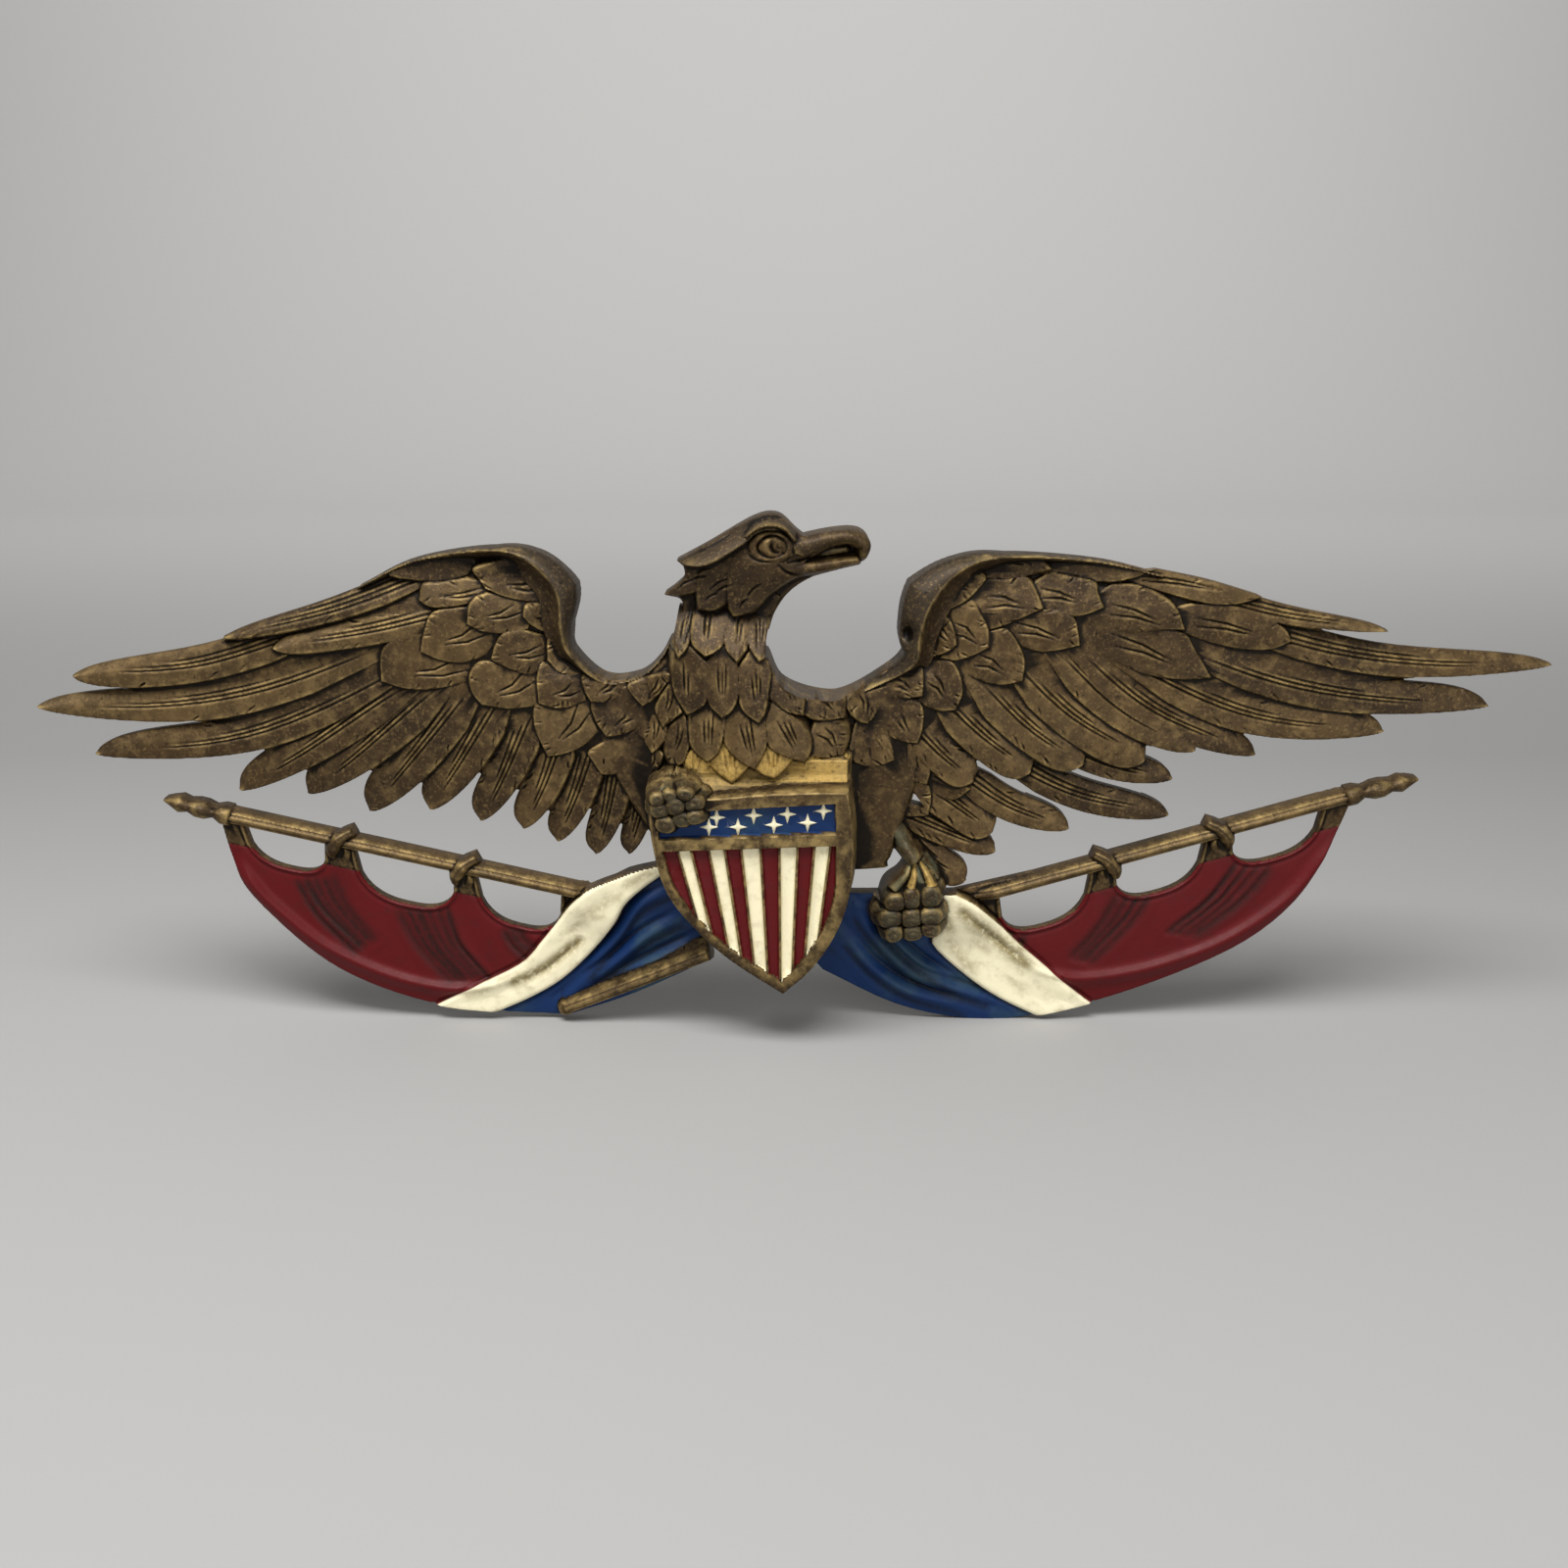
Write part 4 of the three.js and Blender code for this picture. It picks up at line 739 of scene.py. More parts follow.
# Talons
# Each foot is a sinewy shank with three toes of three knuckles, closed over what it holds: one grips the top
# corner of the shield, the other the bunched flag. Blue-grey was left in the tendons' hollows, gold on top.
SHIELD_GRIP, FLAG_GRIP = 45, 23
FIST_FALL, FIST_ROUND = 5, 7
KNUCKLE_DEEP, KNUCKLE_SQUARE, KNUCKLE_TURN = 3.2, 2.3, 22


def foot(mass, level, tendons, knuckles, shine):
    """A closed foot: its mass, the tendons over it, and its knuckles by place and half width and height."""
    window, edge = within(outline([mass]))
    fist = level + FIST_FALL * np.clip(edge / FIST_ROUND, 0, 1) - FIST_FALL
    lay(window, fist, edge, 1.5, flank=2.0, patina=0.8)
    for i, tendon in enumerate(tendons):
        strip(tendon, [1.2, 1.8, 2.6], [level - 3, level + 1, level + 2], rounded(2.5, 2),
              patina=0.9 - shine * (i > 0), gold=shine * (i > 0))
    for x, z, wide, tall in knuckles:
        rise = level + carver.uniform(3.6, 5.2)
        wide, tall = wide * carver.uniform(1.0, 1.16), tall * carver.uniform(0.96, 1.12)
        x, z = x + carver.uniform(-0.5, 0.5), z + carver.uniform(-0.4, 0.4)
        turn = carver.uniform(-KNUCKLE_TURN, KNUCKLE_TURN)
        boss(x, z, wide, tall, rise, KNUCKLE_DEEP, KNUCKLE_SQUARE, turn,
             patina=0.25, tone=carver.uniform(-2.0, -1.2))
        groove([(x - wide * 0.6, z - tall * 0.1), (x, z + tall * 0.25), (x + wide * 0.6, z)], 0.35, 0.5)


foot([(-36, -12), (-31, -12), (-26, -15), (-23, -20), (-22.5, -27), (-30, -31), (-38, -33), (-43, -30),
      (-46, -22), (-44.5, -17), (-41, -13.5), (-36, -12)], SHIELD_GRIP,
     [[(-37, -12), (-40, -14), (-42.5, -18)], [(-35.5, -12), (-36.2, -14), (-37, -17)],
      [(-34, -12), (-31.5, -13), (-30, -15)]],
     [(-42.3, -17.5, 3.3, 3.5), (-36.4, -16.7, 3.6, 3.2), (-30.2, -14.9, 3.8, 3.1),
      (-41.4, -23, 4, 3.4), (-34.6, -20.4, 4.2, 4), (-26.6, -19.6, 4.6, 3.2),
      (-38.8, -29.6, 4.2, 3.9), (-31.8, -27, 4.3, 4.1), (-25.4, -25.4, 4.2, 3.4)], shine=0.2)
foot([(72, -52), (77, -53), (84, -61), (87, -68), (87.5, -76), (85, -89), (73, -92), (61, -90), (57.5, -82),
      (59, -72), (62, -66), (68, -60), (72, -52)], FLAG_GRIP,
     [[(72.5, -54), (70, -61), (64, -68)], [(74, -54), (73.8, -61), (72.5, -67)],
      [(76, -55), (79.5, -61), (82, -67)]],
     [(65, -73.4, 4.5, 4.1), (73, -72.2, 4.1, 4.8), (81.8, -71, 4.7, 5),
      (62.8, -81.3, 5.2, 4.4), (72.3, -81, 5, 4.2), (81.6, -79.9, 4.9, 3.9),
      (64.2, -88.4, 4.3, 3.9), (73, -88, 4.7, 4.2), (81.5, -86.6, 4.2, 3.8)], shine=0.9)
strip([(63, -37), (68, -46), (74, -55)], [5.5, 4.4, 3.6], [17, 19, 24.5], rounded(5, 2.4),
      patina=0.5, tone=-0.9)

# Flags
# A flag hangs furled from a fluted pole at each side, tied to it at two knots, with a D-shaped gap under each
# bay of the pole. Each is cast with its folds, then painted red, off-white and blue.
FLAG_HEIGHT, BAND_HEIGHT = 9, 11.5
POLE_HEIGHT, POLE_HALF = 14, 3.9
NECK = 13.5  # from the pole's line down to the red paint
GAP_LEAN, GAP_SQUARE = 6, 2.6
HEM_RISE, FOLD_RISE, FOLD_SINK = 3.0, 2.6, 2.2
WRINKLE_RISE, WRINKLES = 0.07, (1.1, 2.3, 4.7)  # height, and the reach of each set of wrinkles
STREAK_HALF, STREAK_STRENGTH = 1.8, 0.75


def fluted(u):
    """The drop across a pole with two flutes."""
    return 6.5 * np.abs(u) ** 3 + 0.9 * ridge(np.abs(u) - 0.36, 0.13)


def streak_of_soil_and_shade(path, half, amount):
    """A streak of dark or olive wash on the paint, also painted shade in creases and troughs and by the
    bands.
    """
    window, t, s, across, run = follow(path, half + 2)
    ends = ease(-half, half, s) * ease(run + half, run - half, s)
    streak = amount * ridge(across, half) * ends
    paint["soil_and_shade"][window] = np.maximum(paint["soil_and_shade"][window], streak)


def flag(start, end, finial, rings, gaps, cloth_runs, band_runs, blue_runs, creases, folds, hem):
    """One flag on its pole, which runs from the outer end at start to the inner end."""
    length = math.dist(start, end)
    along = ((end[0] - start[0]) / length, (end[1] - start[1]) / length)
    turn = math.copysign(1, along[0])
    down = (turn * along[1], -turn * along[0])

    def place(s, d):
        """The point s along the pole and d below its line."""
        return (start[0] + along[0] * s + down[0] * d, start[1] + along[1] * s + down[1] * d)

    window, edge = within(outline(cloth_runs))
    x, z = X[window], Z[window]
    gap_edge = np.full(x.shape, 60.0)
    for first, last, depth in gaps:
        points = []
        for u in np.linspace(-1, 1, 25):
            bulge = (1 - abs(u) ** GAP_SQUARE) ** (1 / GAP_SQUARE)
            s = mix(first, last, (u + 1) / 2) + GAP_LEAN * bulge
            points.append(place(s, POLE_HALF - 1 + depth * bulge))
        gap_window, gap = within(np.array(points), 12)
        gap_edge = np.minimum(gap_edge, whole(gap_window, -gap, 60.0)[window])
    edge = np.minimum(edge, gap_edge)
    under_pole = (x - start[0]) * down[0] + (z - start[1]) * down[1]
    top = FLAG_HEIGHT + 0.7 * ridge(gap_edge - 1.1, 0.7) - 0.5 * ridge(gap_edge - 2.6, 1)
    top -= 0.5 * ridge(under_pole - NECK, 0.6) * (gap_edge < 9)

    hem_window, t, s, across, run = follow(hem, 14)
    across = across * turn
    roll = ridge(across, np.where(across > 0, 2.2, 4.5)) * ease(-2, 16, s) * ease(run + 4, run - 14, s)
    top += HEM_RISE * whole(hem_window, roll, 0.0)[window]
    for fold in folds:
        fold_window, t, s, across, run = follow(fold, 14)
        swell = np.sin(np.pi * np.clip(s / run, 0.03, 0.97)) ** 0.7
        wave = FOLD_RISE * ridge(across, 2.4) - FOLD_SINK * ridge(across + 4.4 * turn, 1.5)
        top += whole(fold_window, swell * wave, 0.0)[window]
    # Painted shade: a dark streak in the trough beside each fold.
    streaks_and_shade = [(curve([(a[0], a[1] - 4.4) for a in fold])[0], STREAK_HALF, STREAK_STRENGTH) for fold in folds]
    for first, last, count in creases:
        for share in np.linspace(0, 1, count):
            between = [(mix(a[0], b[0], share), mix(a[1], b[1], share)) for a, b in zip(first, last)]
            path = curve(between, 6)[0]
            path += carver.uniform(-0.6, 0.6, (len(path), 2)).cumsum(axis=0) * 0.25
            engrave(top, x, z, path, carver.uniform(0.6, 1.2), carver.uniform(1.1, 2.0))
            # Dark wash and painted shade: a dark streak along each crease.
            streaks_and_shade.append((path, carver.uniform(1.6, 3.0), carver.uniform(0.7, 1.0)))

    band = whole(*within(outline(band_runs), 8))[window]
    blue = whole(*within(outline(blue_runs), 4))[window]
    swell = BAND_HEIGHT - 1.2 * (1 - np.clip(band / 2, 0, 1)) ** 2 - 0.9 * np.clip(band / 8, 0, 1) ** 2
    swell += 4.2 * ease(26, 6, np.hypot(x - end[0], z - end[1]))
    top = np.where(band > -0.7, np.maximum(top, swell - 3 * np.maximum(0, -band)), top)
    top -= 0.9 * ridge(band + 1.1, 0.8)
    wrinkles = 0.0
    for reach in WRINKLES:
        turned = carver.uniform(0, math.pi)
        wander = 1.3 * np.sin(x / (2.1 * reach) + carver.uniform(0, 6)) + 1.1 * np.sin(z / (1.7 * reach))
        wave = np.sin((x * math.cos(turned) + z * math.sin(turned)) / reach + wander)
        wrinkles = wrinkles + WRINKLE_RISE * wave
    top += wrinkles * ease(0, 2, band)
    lay(window, top, edge, 0.9, white=painted_edge(band), blue=painted_edge(blue + 2),
        red=painted_edge(np.minimum(under_pole - NECK, gap_edge + 1)))
    for streak in streaks_and_shade:
        streak_of_soil_and_shade(*streak)

    strip([start, end], POLE_HALF, [POLE_HEIGHT] * 13 + [BAND_HEIGHT - 4], fluted, tone=0.5)
    for s in rings:
        strip([place(s - 3, 10), place(s - 3.2, 4.5), place(s - 0.5, -1.5), place(s + 5, -6.2)],
              [2.2, 3.2, 3.1, 2.6], [10, 15.5, 17.5, 13.5],
              lambda u: 3.6 * np.abs(u) ** 2.2 + 0.5 * ridge(u, 0.2), tone=-0.3)
        strip([place(s + 3, 10.5), place(s + 3.6, 5.5), place(s + 2.8, 3)], [2.6, 1.8, 0.8],
              [9.5, 11.5, 13], rounded(2, 2.2), tone=-0.4)
    strip([finial, place(2, 0)], [0.8, 2.9, 4.4, 3.4, 4.4, 4.4, 3.2, 4.8, 4.8],
          [10, 12, 14, 13, 15, 15, 13, 15.5, 15.5], rounded(5, 2.5), tone=-0.7)



flag(
    start=(-246, -35.8), end=(-72, -76.1), finial=(-275, -28.5), rings=[54, 112.5],
    gaps=[(8, 46, 16.5), (60, 108, 21.5), (118, 159, 20.5)],
    cloth_runs=[
        [(-249.5, -38), (-245, -58), (-237.5, -75), (-211, -103.5), (-187, -119), (-156.5, -130),
         (-128, -134), (-90, -136)],
        [(-90, -136), (-58, -125), (-20, -107)],
        [(-20, -107), (-24, -90), (-38, -59)],
        [(-38, -59), (-58, -63.5), (-74, -69), (-84, -74)],
        [(-84, -74), (-249.5, -38)],
    ],
    band_runs=[
        [(-38, -58), (-58, -62.5), (-75, -69), (-86, -78), (-93, -87), (-102, -98.5), (-113, -110),
         (-139, -123), (-156, -132)],
        [(-156, -132), (-129, -136)],
        [(-129, -136), (-109, -127), (-92.5, -117), (-77, -102), (-66.5, -88), (-60, -77), (-44, -65)],
        [(-44, -65), (-38, -58)],
    ],
    blue_runs=[[(-44, -65), (-60, -77), (-66.5, -88), (-77, -102), (-92.5, -117), (-109, -127),
                (-129, -136)],
               [(-129, -136), (-90, -142)], [(-90, -142), (0, -110)], [(0, -110), (-44, -65)]],
    creases=[([(-216, -68), (-208, -84), (-190, -104)], [(-199, -66), (-194, -80), (-181, -98)], 5),
             ([(-169, -83), (-160, -102), (-146, -119)], [(-146, -82), (-141, -100), (-128, -117)], 6),
             ([(-120, -93), (-116, -101), (-110, -107)], [(-113, -92), (-110, -98), (-105, -102)], 3)],
    folds=[[(-38, -72), (-54, -80), (-64, -94), (-80, -114)],
           [(-34, -86), (-52, -96), (-66, -108), (-84, -122)],
           [(-28, -98), (-46, -107), (-64, -117)]],
    hem=[(-243, -56), (-236, -69), (-225, -82), (-203, -101), (-172, -116), (-142, -122), (-118, -117),
         (-102, -105)],
)
flag(
    start=(276, -26.3), end=(99, -77.5), finial=(307.5, -18.6), rings=[62, 116],
    gaps=[(13, 56, 17.5), (69, 112, 19), (124, 168, 20.5)],
    cloth_runs=[
        [(277.5, -29), (270, -49), (255, -77.5), (233.5, -98), (201, -115), (162, -129.5), (127, -137.5),
         (100, -138), (67, -130.5), (32, -113)],
        [(32, -113), (24, -100), (38, -74.5)],
        [(38, -74.5), (60, -74.5), (94, -73)],
        [(94, -73), (277.5, -29)],
    ],
    band_runs=[
        [(86, -71), (94, -73.5), (104, -79), (115, -89), (125, -99), (137.5, -110), (150.5, -121.5),
         (164, -132)],
        [(164, -132), (139, -138)],
        [(139, -138), (117, -127), (100, -115), (84, -99), (89, -90), (86, -71)],
    ],
    blue_runs=[[(86, -71), (89, -90), (84, -99), (100, -115), (117, -127), (139, -138)],
               [(139, -138), (90, -145)], [(90, -145), (10, -120)], [(10, -120), (20, -60)],
               [(20, -60), (86, -71)]],
    creases=[([(186, -76), (178, -90), (160, -109)], [(171, -76), (164, -90), (150, -107)], 4),
             ([(242, -62), (228, -80), (208, -96)], [(226, -60), (214, -78), (196, -94)], 4),
             ([(128, -96), (126, -101), (124, -104)], [(122, -94), (120, -98), (119, -101)], 2)],
    folds=[[(46, -82), (58, -98), (78, -116), (112, -128)],
           [(42, -96), (56, -112), (74, -124), (100, -132)],
           [(60, -92), (76, -108), (96, -121)]],
    hem=[(272, -44), (264, -58), (250, -77), (223, -97), (188, -111), (156, -116.5), (137, -113),
         (125, -104)],
)
strip([(-91, -131), (-58, -117), (-22, -100.5)], 3.9, [16, 19, 24], fluted, tone=0.3)
boss(-91, -131, 3.4, 3.4, 14.6, 1.5)
boss(-91, -131, 1.6, 1.6, 12, -2)
groove([(-83, -97.5), (-90, -103), (-98, -110), (-108, -117)], 1.5, 1.7)
groove([(98, -82), (108, -91), (118, -100), (126, -106)], 1.1, 1.3)
# Painted shadows and wash: dark streaks along the white bands' edges and their creases.
for path, half, amount in [
    ([(-82, -96), (-91, -103.5), (-102, -112), (-118, -119)], 3.0, 1.0),
    ([(-84, -84), (-74, -80), (-62, -72)], 2.2, 0.55),
    ([(-90, -94), (-80, -86), (-70, -84)], 1.6, 0.5),
    ([(-46, -62), (-56, -67), (-62, -70)], 2.4, 0.6),
    ([(-126, -121), (-140, -126)], 2.2, 0.45),
    ([(95, -80), (108, -91), (122, -104), (131, -111)], 3.6, 1.0),
    ([(88, -76), (90, -86), (93, -93)], 3.2, 0.75),
    ([(91, -96), (98, -106), (106, -114)], 2.6, 0.6),
    ([(104, -97), (112, -104)], 2.2, 0.5),
    ([(122, -118), (132, -124)], 2.4, 0.4),
]:
    streak_of_soil_and_shade(path, half, amount)

# The casting
# The relief is cast in one pour: its face, the walls down from its outline, and a back that was hollowed so
# that only the pad behind the breast bears on the wall. Its surface carries the masks for the paint.
WING_CLEAR, TIP_CLEAR, FLAG_CLEAR, HEAD_CLEAR = 7.0, 4.5, 4.0, 12.0  # how far the back stands off the wall
THINNEST = 1.5
FINEST = 190_000  # triangles
SMOOTH_UNDER = 38  # degrees between faces


def back_height(x, z):
    """How far the back stands off the wall."""
    out = np.abs(x)
    wing = np.interp(out, [66, 84, 130, 345], [0, WING_CLEAR, WING_CLEAR, TIP_CLEAR])
    flags = np.interp(out, [60, 66], [0, FLAG_CLEAR])
    head = np.where(z > 48, HEAD_CLEAR, 0) * (out < 60)
    return np.maximum(np.where(z > -26, wing, flags), head)


def smeared(values, size):
    """Values averaged twice each way over a square of points."""
    for axis in (0, 1):
        for _ in range(2):
            edges = [(size + 1, size) if a == axis else (0, 0) for a in (0, 1)]
            total = np.cumsum(np.pad(values, edges), axis)
            count = values.shape[axis]
            upper = np.take(total, np.arange(2 * size + 1, 2 * size + 1 + count), axis)
            values = (upper - np.take(total, np.arange(count), axis)) / (2 * size + 1)
    return values


def blurred(field, reach):
    """A soft average over what lies within the outline."""
    size = max(1, int(reach / PITCH))
    return smeared(field * solid, size) / np.maximum(smeared(solid.astype(float), size), 1e-3)


solid = inside > 0
covered = ease(0.4, 0.6, np.maximum(np.maximum(paint["red"], paint["white"]), paint["blue"]))
on_shield = (height > SHIELD_HEIGHT - SHIELD_RECESS - 1) & (covered > 0.5)
spared = 1 - 0.55 * np.maximum(covered, np.minimum(paint["gold"], 1))
# Painted shade: points lower than their surroundings get dark wash and the shade that falls in recesses,
# under edges and between parts.
wash_and_shade = ease(0.05, 0.33, blurred(height, 1.3) - height)
wash_and_shade += 0.35 * ease(0.4, 3.0, blurred(height, 4) - height)
wash_and_shade *= np.where(on_shield, 0.12, spared) * mix(0.25, 1, ease(0.4, 1.8, inside))
# Painted highlight: points higher than their surroundings are lighter, as rubbed paint and as the light that
# edges catch.
rubbed_and_highlit = ease(0.06, 0.35, height - blurred(height, 0.9))
rubbed_and_highlit *= 1 - 0.6 * ease(58, 66, Z) * (np.abs(X) < 55)

cell = solid[:-1, :-1].astype(int) + solid[1:, :-1] + solid[:-1, 1:] + solid[1:, 1:]
kept = cell > 0
used = np.zeros(X.shape, bool)
for corner in (used[:-1, :-1], used[1:, :-1], used[:-1, 1:], used[1:, 1:]):
    corner |= kept

# Points just outside the outline are drawn in to it, so that the wall follows it smoothly.
slope_z, slope_x = np.gradient(inside, PITCH)
rim = used & ~solid
steep = np.maximum(slope_x**2 + slope_z**2, 0.3)
shift = np.where(rim, np.clip(-inside, 0, 1.0) / steep, 0)
point_x = np.where(rim, X + shift * slope_x, X)[used]
point_z = np.where(rim, Z + shift * slope_z, Z)[used]

index = np.full(X.shape, -1)
index[used] = np.arange(used.sum())
front = np.column_stack([point_x, -height[used], point_z])
back = np.column_stack([point_x, -back_height(point_x, point_z), point_z])
back[:, 1] = np.maximum(back[:, 1], front[:, 1] + THINNEST)
count = len(front)
rows, columns = np.nonzero(kept)
a, b = index[rows, columns], index[rows, columns + 1]
c, d = index[rows + 1, columns + 1], index[rows + 1, columns]
faces = [np.column_stack([a, b, c, d]), np.column_stack([a, d, c, b]) + count]
padded = np.pad(kept, 1)
for row_step, column_step, first, second in ((-1, 0, a, b), (0, 1, b, c), (1, 0, c, d), (0, -1, d, a)):
    open_side = ~padded[rows + 1 + row_step, columns + 1 + column_step]
    p, q = first[open_side], second[open_side]
    faces.append(np.column_stack([q, p, p + count, q + count]))
faces = np.vstack(faces)
points = np.vstack([front, back]) / 1000

mesh = bpy.data.meshes.new("eagle_casting")
mesh.vertices.add(len(points))
mesh.vertices.foreach_set("co", points.ravel())
mesh.loops.add(faces.size)
mesh.loops.foreach_set("vertex_index", faces.ravel())
mesh.polygons.add(len(faces))
mesh.polygons.foreach_set("loop_start", np.arange(0, faces.size, 4))
mesh.update(calc_edges=True)
mesh.validate()
casting = bpy.data.objects.new("eagle_casting", mesh)
bpy.context.scene.collection.objects.link(casting)
bpy.ops.object.select_all(action="DESELECT")
casting.select_set(True)
bpy.context.view_layer.objects.active = casting
thin = casting.modifiers.new("thinned", "DECIMATE")
thin.ratio = min(1.0, FINEST / (len(faces) * 2))
bpy.ops.object.modifier_apply(modifier=thin.name)
bpy.ops.object.shade_smooth_by_angle(angle=math.radians(SMOOTH_UNDER))
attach(casting, "root")
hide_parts("eagle_plaque")


def sampled(field, x, z):
    """A field of the relief at any point of the plane."""
    i = np.clip((z - up_plaque[0]) / PITCH, 0, len(up_plaque) - 1.001)
    j = np.clip((x - across_plaque[0]) / PITCH, 0, len(across_plaque) - 1.001)
    i0, j0 = i.astype(int), j.astype(int)
    u, v = i - i0, j - j0
    lower = mix(field[i0, j0], field[i0, j0 + 1], v)
    upper = mix(field[i0 + 1, j0], field[i0 + 1, j0 + 1], v)
    return mix(lower, upper, u)


vertices = np.empty(len(casting.data.vertices) * 3)
casting.data.vertices.foreach_get("co", vertices)
vertices = vertices.reshape(-1, 3) * 1000
for name, field in [*paint.items(), ("wash_and_shade", wash_and_shade), ("rubbed_and_highlit", rubbed_and_highlit)]:
    layer = casting.data.attributes.new(name, "FLOAT", "POINT")
    layer.data.foreach_set("value", sampled(field, vertices[:, 0], vertices[:, 2]).astype(np.float32))

# Paint
# The face was sprayed bronze brown, the colours were brushed on, and a dark wash was wiped over all of it: it
# stays in the hollows and casting grain and leaves the high edges rubbed lighter. The dark in the hollows is
# also painted shade, and the lighter high edges also painted highlights. Semi-matt.
BRONZE, BRONZE_PALE, BRONZE_DARK = "#4f3d25", "#7d6641", "#33271a"
GREY_BRONZE = "#3b3125"  # where the roll and the cap were sprayed thinly
# the lighter colour of rubbed high edges, also their painted highlight
GOLD, RUBBED_AND_HIGHLIGHT = "#c2a058", "#b59a62"
PATINA = "#56604f"
# the colour of the dark wash, also laid as painted shade in the recesses
WASH_AND_SHADE = "#0c0703"
# Each flag colour has a darker one for soil and for painted shade in the creases, troughs and by the bands.
RED, RED_WORN, RED_SOIL_AND_SHADE = "#5a090d", "#451715", "#26100d"
OFF_WHITE, SOILED_AND_SHADED = "#f2e9c6", "#8f8157"
BLUE, BLUE_WORN, BLUE_SOIL_AND_SHADE = "#0d2b57", "#30495a", "#080f18"
METALLIC, SPECULAR = 0.4, 0.22  # paint with bronze powder in it, and a thin matt lacquer
GLOSSIEST, DULLEST = 0.38, 0.62
# Each pattern's size in millimetres, its detail and its roughness. The grain of the moulding sand is about
# 0.3 mm, too fine to show from here, so it is drawn three times as coarse.
GRAINS = {
    "clouds": (33.3, 5, 0.55),
    "blotches": (6.25, 5, 0.6),
    "specks": (2.38, 4, 0.7),
    "flecks": (1.43, 3, 0.6),
    "sand": (0.91, 2, 0.5),
}
SKIN_RELIEF = 0.0004  # metres, the height of the casting's skin


def linear(hex_colour):
    """An sRGB hex colour as linear values."""
    values = [int(hex_colour[i:i + 2], 16) / 255 for i in (1, 3, 5)]
    return (*[v / 12.92 if v <= 0.04045 else ((v + 0.055) / 1.055) ** 2.4 for v in values], 1)


def add_node(tree, kind, settings, inputs, output=0):
    """Adds a node with its settings and its inputs, each a value or a link, and gives one of its outputs."""
    node = tree.nodes.new(kind)
    for name, value in settings.items():
        setattr(node, name, value)
    for name, value in inputs.items():
        if isinstance(value, bpy.types.NodeSocket):
            tree.links.new(value, node.inputs[name])
        else:
            node.inputs[name].default_value = value
    return node.outputs[output]


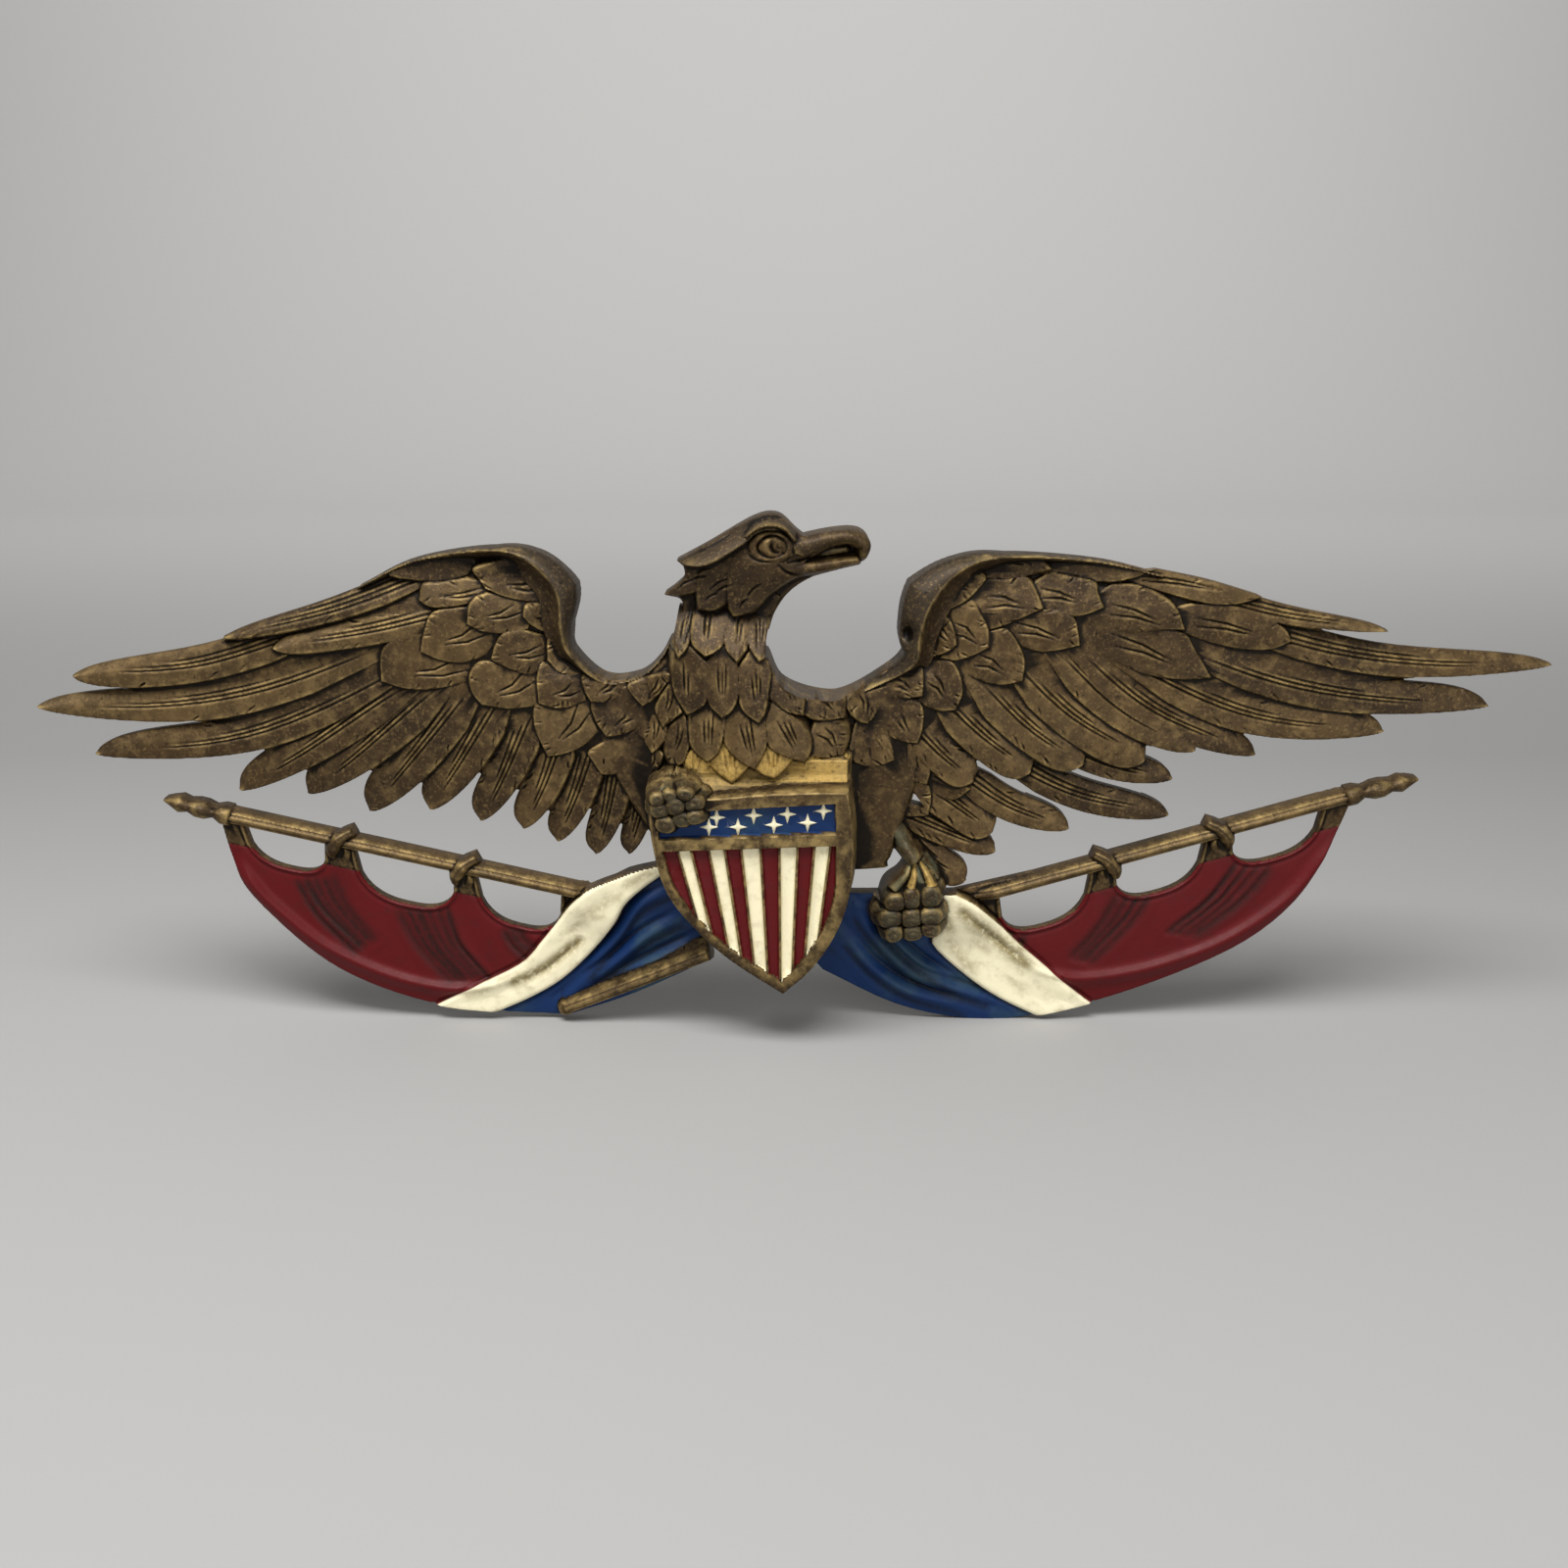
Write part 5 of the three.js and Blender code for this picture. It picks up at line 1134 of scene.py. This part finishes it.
def cast_paint(name, coloured):
    """The finish of the face with its flag colours, or of the plain walls and back."""
    finish = bpy.data.materials.new(name)
    finish.use_nodes = True
    tree = finish.node_tree
    shader = tree.nodes["Principled BSDF"]
    place = add_node(tree, "ShaderNodeTexCoord", {}, {}, "Object")
    grain = {}
    for pattern, (size, detail, roughness) in GRAINS.items():
        grain[pattern] = add_node(tree, "ShaderNodeTexNoise", {}, {
            "Vector": place, "Scale": 1000 / size, "Detail": detail, "Roughness": roughness}, "Fac")

    def mask(source, low=None, high=None):
        """A pattern or a mask carried by the casting, as it is or between two levels of it."""
        value = grain.get(source)
        if value is None:
            value = add_node(tree, "ShaderNodeAttribute", {"attribute_name": source}, {}, "Fac")
        if low is None:
            return value
        return add_node(tree, "ShaderNodeMapRange", {"interpolation_type": "SMOOTHSTEP"},
                        {"Value": value, "From Min": low, "From Max": high})

    def coat(under, colour, strength, *masks):
        """Brushes a colour over what is there, by its strength and where its masks let it."""
        for layer_mask in masks:
            strength = add_node(tree, "ShaderNodeMath", {"operation": "MULTIPLY", "use_clamp": True},
                                {0: layer_mask, 1: strength})
        over = linear(colour) if isinstance(colour, str) else colour
        return add_node(tree, "ShaderNodeMix", {"data_type": "RGBA"}, {0: strength, 6: under, 7: over}, 2)

    colour = coat(linear(BRONZE), BRONZE_DARK, 1.0, mask("clouds", 0.3, 0.7))
    colour = coat(colour, BRONZE_PALE, 0.6, mask("blotches", 0.45, 0.7))
    # Each feather's own tone, and painted shade where the roll's hollow face and the head are darkened.
    colour = coat(colour, BRONZE_PALE, 0.3, mask("tone"))
    colour = coat(colour, BRONZE_DARK, -0.45, mask("tone"))
    colour = coat(colour, GREY_BRONZE, 1.0, mask("bare"))
    colour = coat(colour, WASH_AND_SHADE, 0.7, mask("specks", 0.55, 0.72))
    colour = coat(colour, BRONZE_PALE, 0.55, mask("flecks", 0.53, 0.7))
    if coloured:
        colour = coat(colour, GOLD, 1.0, mask("gold"), mask("specks", 0.2, 0.6))
        colour = coat(colour, PATINA, 1.0, mask("patina"), mask("blotches", 0.3, 0.65))
    # Painted highlights and rubbed paint on the high edges.
    colour = coat(colour, RUBBED_AND_HIGHLIGHT, 0.65, mask("rubbed_and_highlit"), mask("blotches", 0.3, 0.7))
    shader.inputs["Metallic"].default_value = METALLIC
    if coloured:
        # Dark wash and painted shade in the flags' creases, fold troughs and along the bands.
        streaks_and_shade = (mask("soil_and_shade"), mask("specks", 0.1, 0.55))
        red = coat(linear(RED), RED_WORN, 0.5, mask("blotches", 0.5, 0.8))
        red = coat(red, RED_SOIL_AND_SHADE, 1.0, *streaks_and_shade)
        blue = coat(linear(BLUE), BLUE_WORN, 1.0, mask("clouds", 0.47, 0.7))
        blue = coat(blue, BLUE_SOIL_AND_SHADE, 1.0, *streaks_and_shade)
        white = coat(linear(OFF_WHITE), SOILED_AND_SHADED, 0.35, mask("blotches", 0.48, 0.78))
        white = coat(white, SOILED_AND_SHADED, 1.0, mask("soil_and_shade"), mask("specks", 0.2, 0.55))
        covered = 0.0
        for source, flag_paint in (("red", red), ("blue", blue), ("white", white)):
            brushed = mask(source, 0.44, 0.56)
            colour = coat(colour, flag_paint, 1.0, brushed)
            covered = add_node(tree, "ShaderNodeMath", {"operation": "MAXIMUM"}, {0: covered, 1: brushed})
        metal = add_node(tree, "ShaderNodeMath", {"operation": "MULTIPLY_ADD"},
                         {0: covered, 1: -METALLIC, 2: METALLIC})
        tree.links.new(metal, shader.inputs["Metallic"])
    # Painted shade and dark wash in the recesses, lighter on the flag paints and on the walls.
    colour = coat(colour, WASH_AND_SHADE, 0.92 if coloured else 0.3, mask("wash_and_shade", 0.25, 0.85))
    tree.links.new(colour, shader.inputs["Base Color"])
    shader.inputs["Specular IOR Level"].default_value = SPECULAR
    gloss = add_node(tree, "ShaderNodeMapRange", {},
                     {"Value": grain["blotches"], "To Min": GLOSSIEST, "To Max": DULLEST})
    tree.links.new(gloss, shader.inputs["Roughness"])
    sand = add_node(tree, "ShaderNodeMath", {"operation": "MULTIPLY"}, {0: grain["sand"], 1: 0.5})
    skin = add_node(tree, "ShaderNodeMath", {"operation": "MULTIPLY_ADD"},
                    {0: grain["specks"], 1: 0.6, 2: sand})
    bumped = add_node(tree, "ShaderNodeBump", {}, {"Height": skin, "Strength": 0.4, "Distance": SKIN_RELIEF})
    tree.links.new(bumped, shader.inputs["Normal"])
    return finish


casting.data.materials.append(cast_paint("antiqued bronze and flag paints on cast aluminium", True))
casting.data.materials.append(cast_paint("bronze paint on the walls and back of the casting", False))
facing = np.empty(len(casting.data.polygons) * 3)
casting.data.polygons.foreach_get("normal", facing)
turned_away = facing.reshape(-1, 3)[:, 1] > -0.3
casting.data.polygons.foreach_set("material_index", turned_away.astype(np.int32))

# Floor, light and camera
# A plain pale floor that sweeps up to a backdrop well behind the plaque, and three soft studio lamps: a key
# from above the viewer's left shoulder, a weak fill from the right, and one for the backdrop.
FRONT_EDGE, BEND_START, BEND_RADIUS, SWEEP_TOP, SWEEP_HALF = -5.0, 2.6, 1.6, 5.0, 7.0
PALE_FLOOR, STUDIO_AIR = "#a3a2a0", "#dfe0e2"
FOCAL_PIXELS, PHOTO_WIDTH, SENSOR = 1645, 1600, 36
ELEVATION, DISTANCE = 15, 0.736
profile = [(FRONT_EDGE, 0.0), (BEND_START, 0.0)]
for turn in np.linspace(0, math.pi / 2, 25)[1:]:
    profile.append((BEND_START + BEND_RADIUS * math.sin(turn), BEND_RADIUS * (1 - math.cos(turn))))
profile.append((BEND_START + BEND_RADIUS, SWEEP_TOP))
corners = [(side * SWEEP_HALF, y, cad_low[2] + up) for y, up in profile for side in (-1, 1)]
panels = [(2 * i, 2 * i + 1, 2 * i + 3, 2 * i + 2) for i in range(len(profile) - 1)]
sweep = bpy.data.meshes.new("floor")
sweep.from_pydata(corners, [], panels)
sweep.shade_smooth()
floor = bpy.data.objects.new("floor", sweep)
bpy.context.scene.collection.objects.link(floor)
pale = bpy.data.materials.new("pale matt studio floor")
pale.use_nodes = True
pale.node_tree.nodes["Principled BSDF"].inputs["Base Color"].default_value = linear(PALE_FLOOR)
pale.node_tree.nodes["Principled BSDF"].inputs["Roughness"].default_value = 0.85
floor.data.materials.append(pale)

world = bpy.data.worlds.new("studio")
bpy.context.scene.world = world
world.use_nodes = True
world.node_tree.nodes["Background"].inputs[0].default_value = linear(STUDIO_AIR)
world.node_tree.nodes["Background"].inputs[1].default_value = 0.42


def softbox(name, spot, aim, size, power):
    """A rectangular lamp of this size in metres and power in watts, turned to what it lights."""
    lamp = bpy.data.lights.new(name, "AREA")
    lamp.shape = "RECTANGLE"
    lamp.size, lamp.size_y = size
    lamp.energy = power
    box = bpy.data.objects.new(name, lamp)
    bpy.context.scene.collection.objects.link(box)
    box.location = spot
    box.rotation_euler = (Vector(aim) - Vector(spot)).to_track_quat("-Z", "Y").to_euler()


softbox("key", (-0.25, -0.65, 1.25), (0, 0, 0), (1.2, 0.6), 29)
softbox("fill", (0.7, -1.6, 0.35), (0, 0, -0.02), (1.4, 1.0), 6.5)
softbox("backdrop", (0, 1.4, 2.6), (0, 4.2, 1.7), (5, 1.5), 165)

aim = Vector((0.0135, -0.020, -0.018))
camera = bpy.data.objects.new("camera", bpy.data.cameras.new("camera"))
bpy.context.scene.collection.objects.link(camera)
camera.data.sensor_width = SENSOR
camera.data.lens = SENSOR * FOCAL_PIXELS / PHOTO_WIDTH
rise = math.radians(ELEVATION)
camera.location = aim + DISTANCE * Vector((0, -math.cos(rise), math.sin(rise)))
camera.rotation_euler = (aim - camera.location).to_track_quat("-Z", "Y").to_euler()
bpy.context.scene.camera = camera
bpy.context.scene.view_settings.view_transform = "Standard"
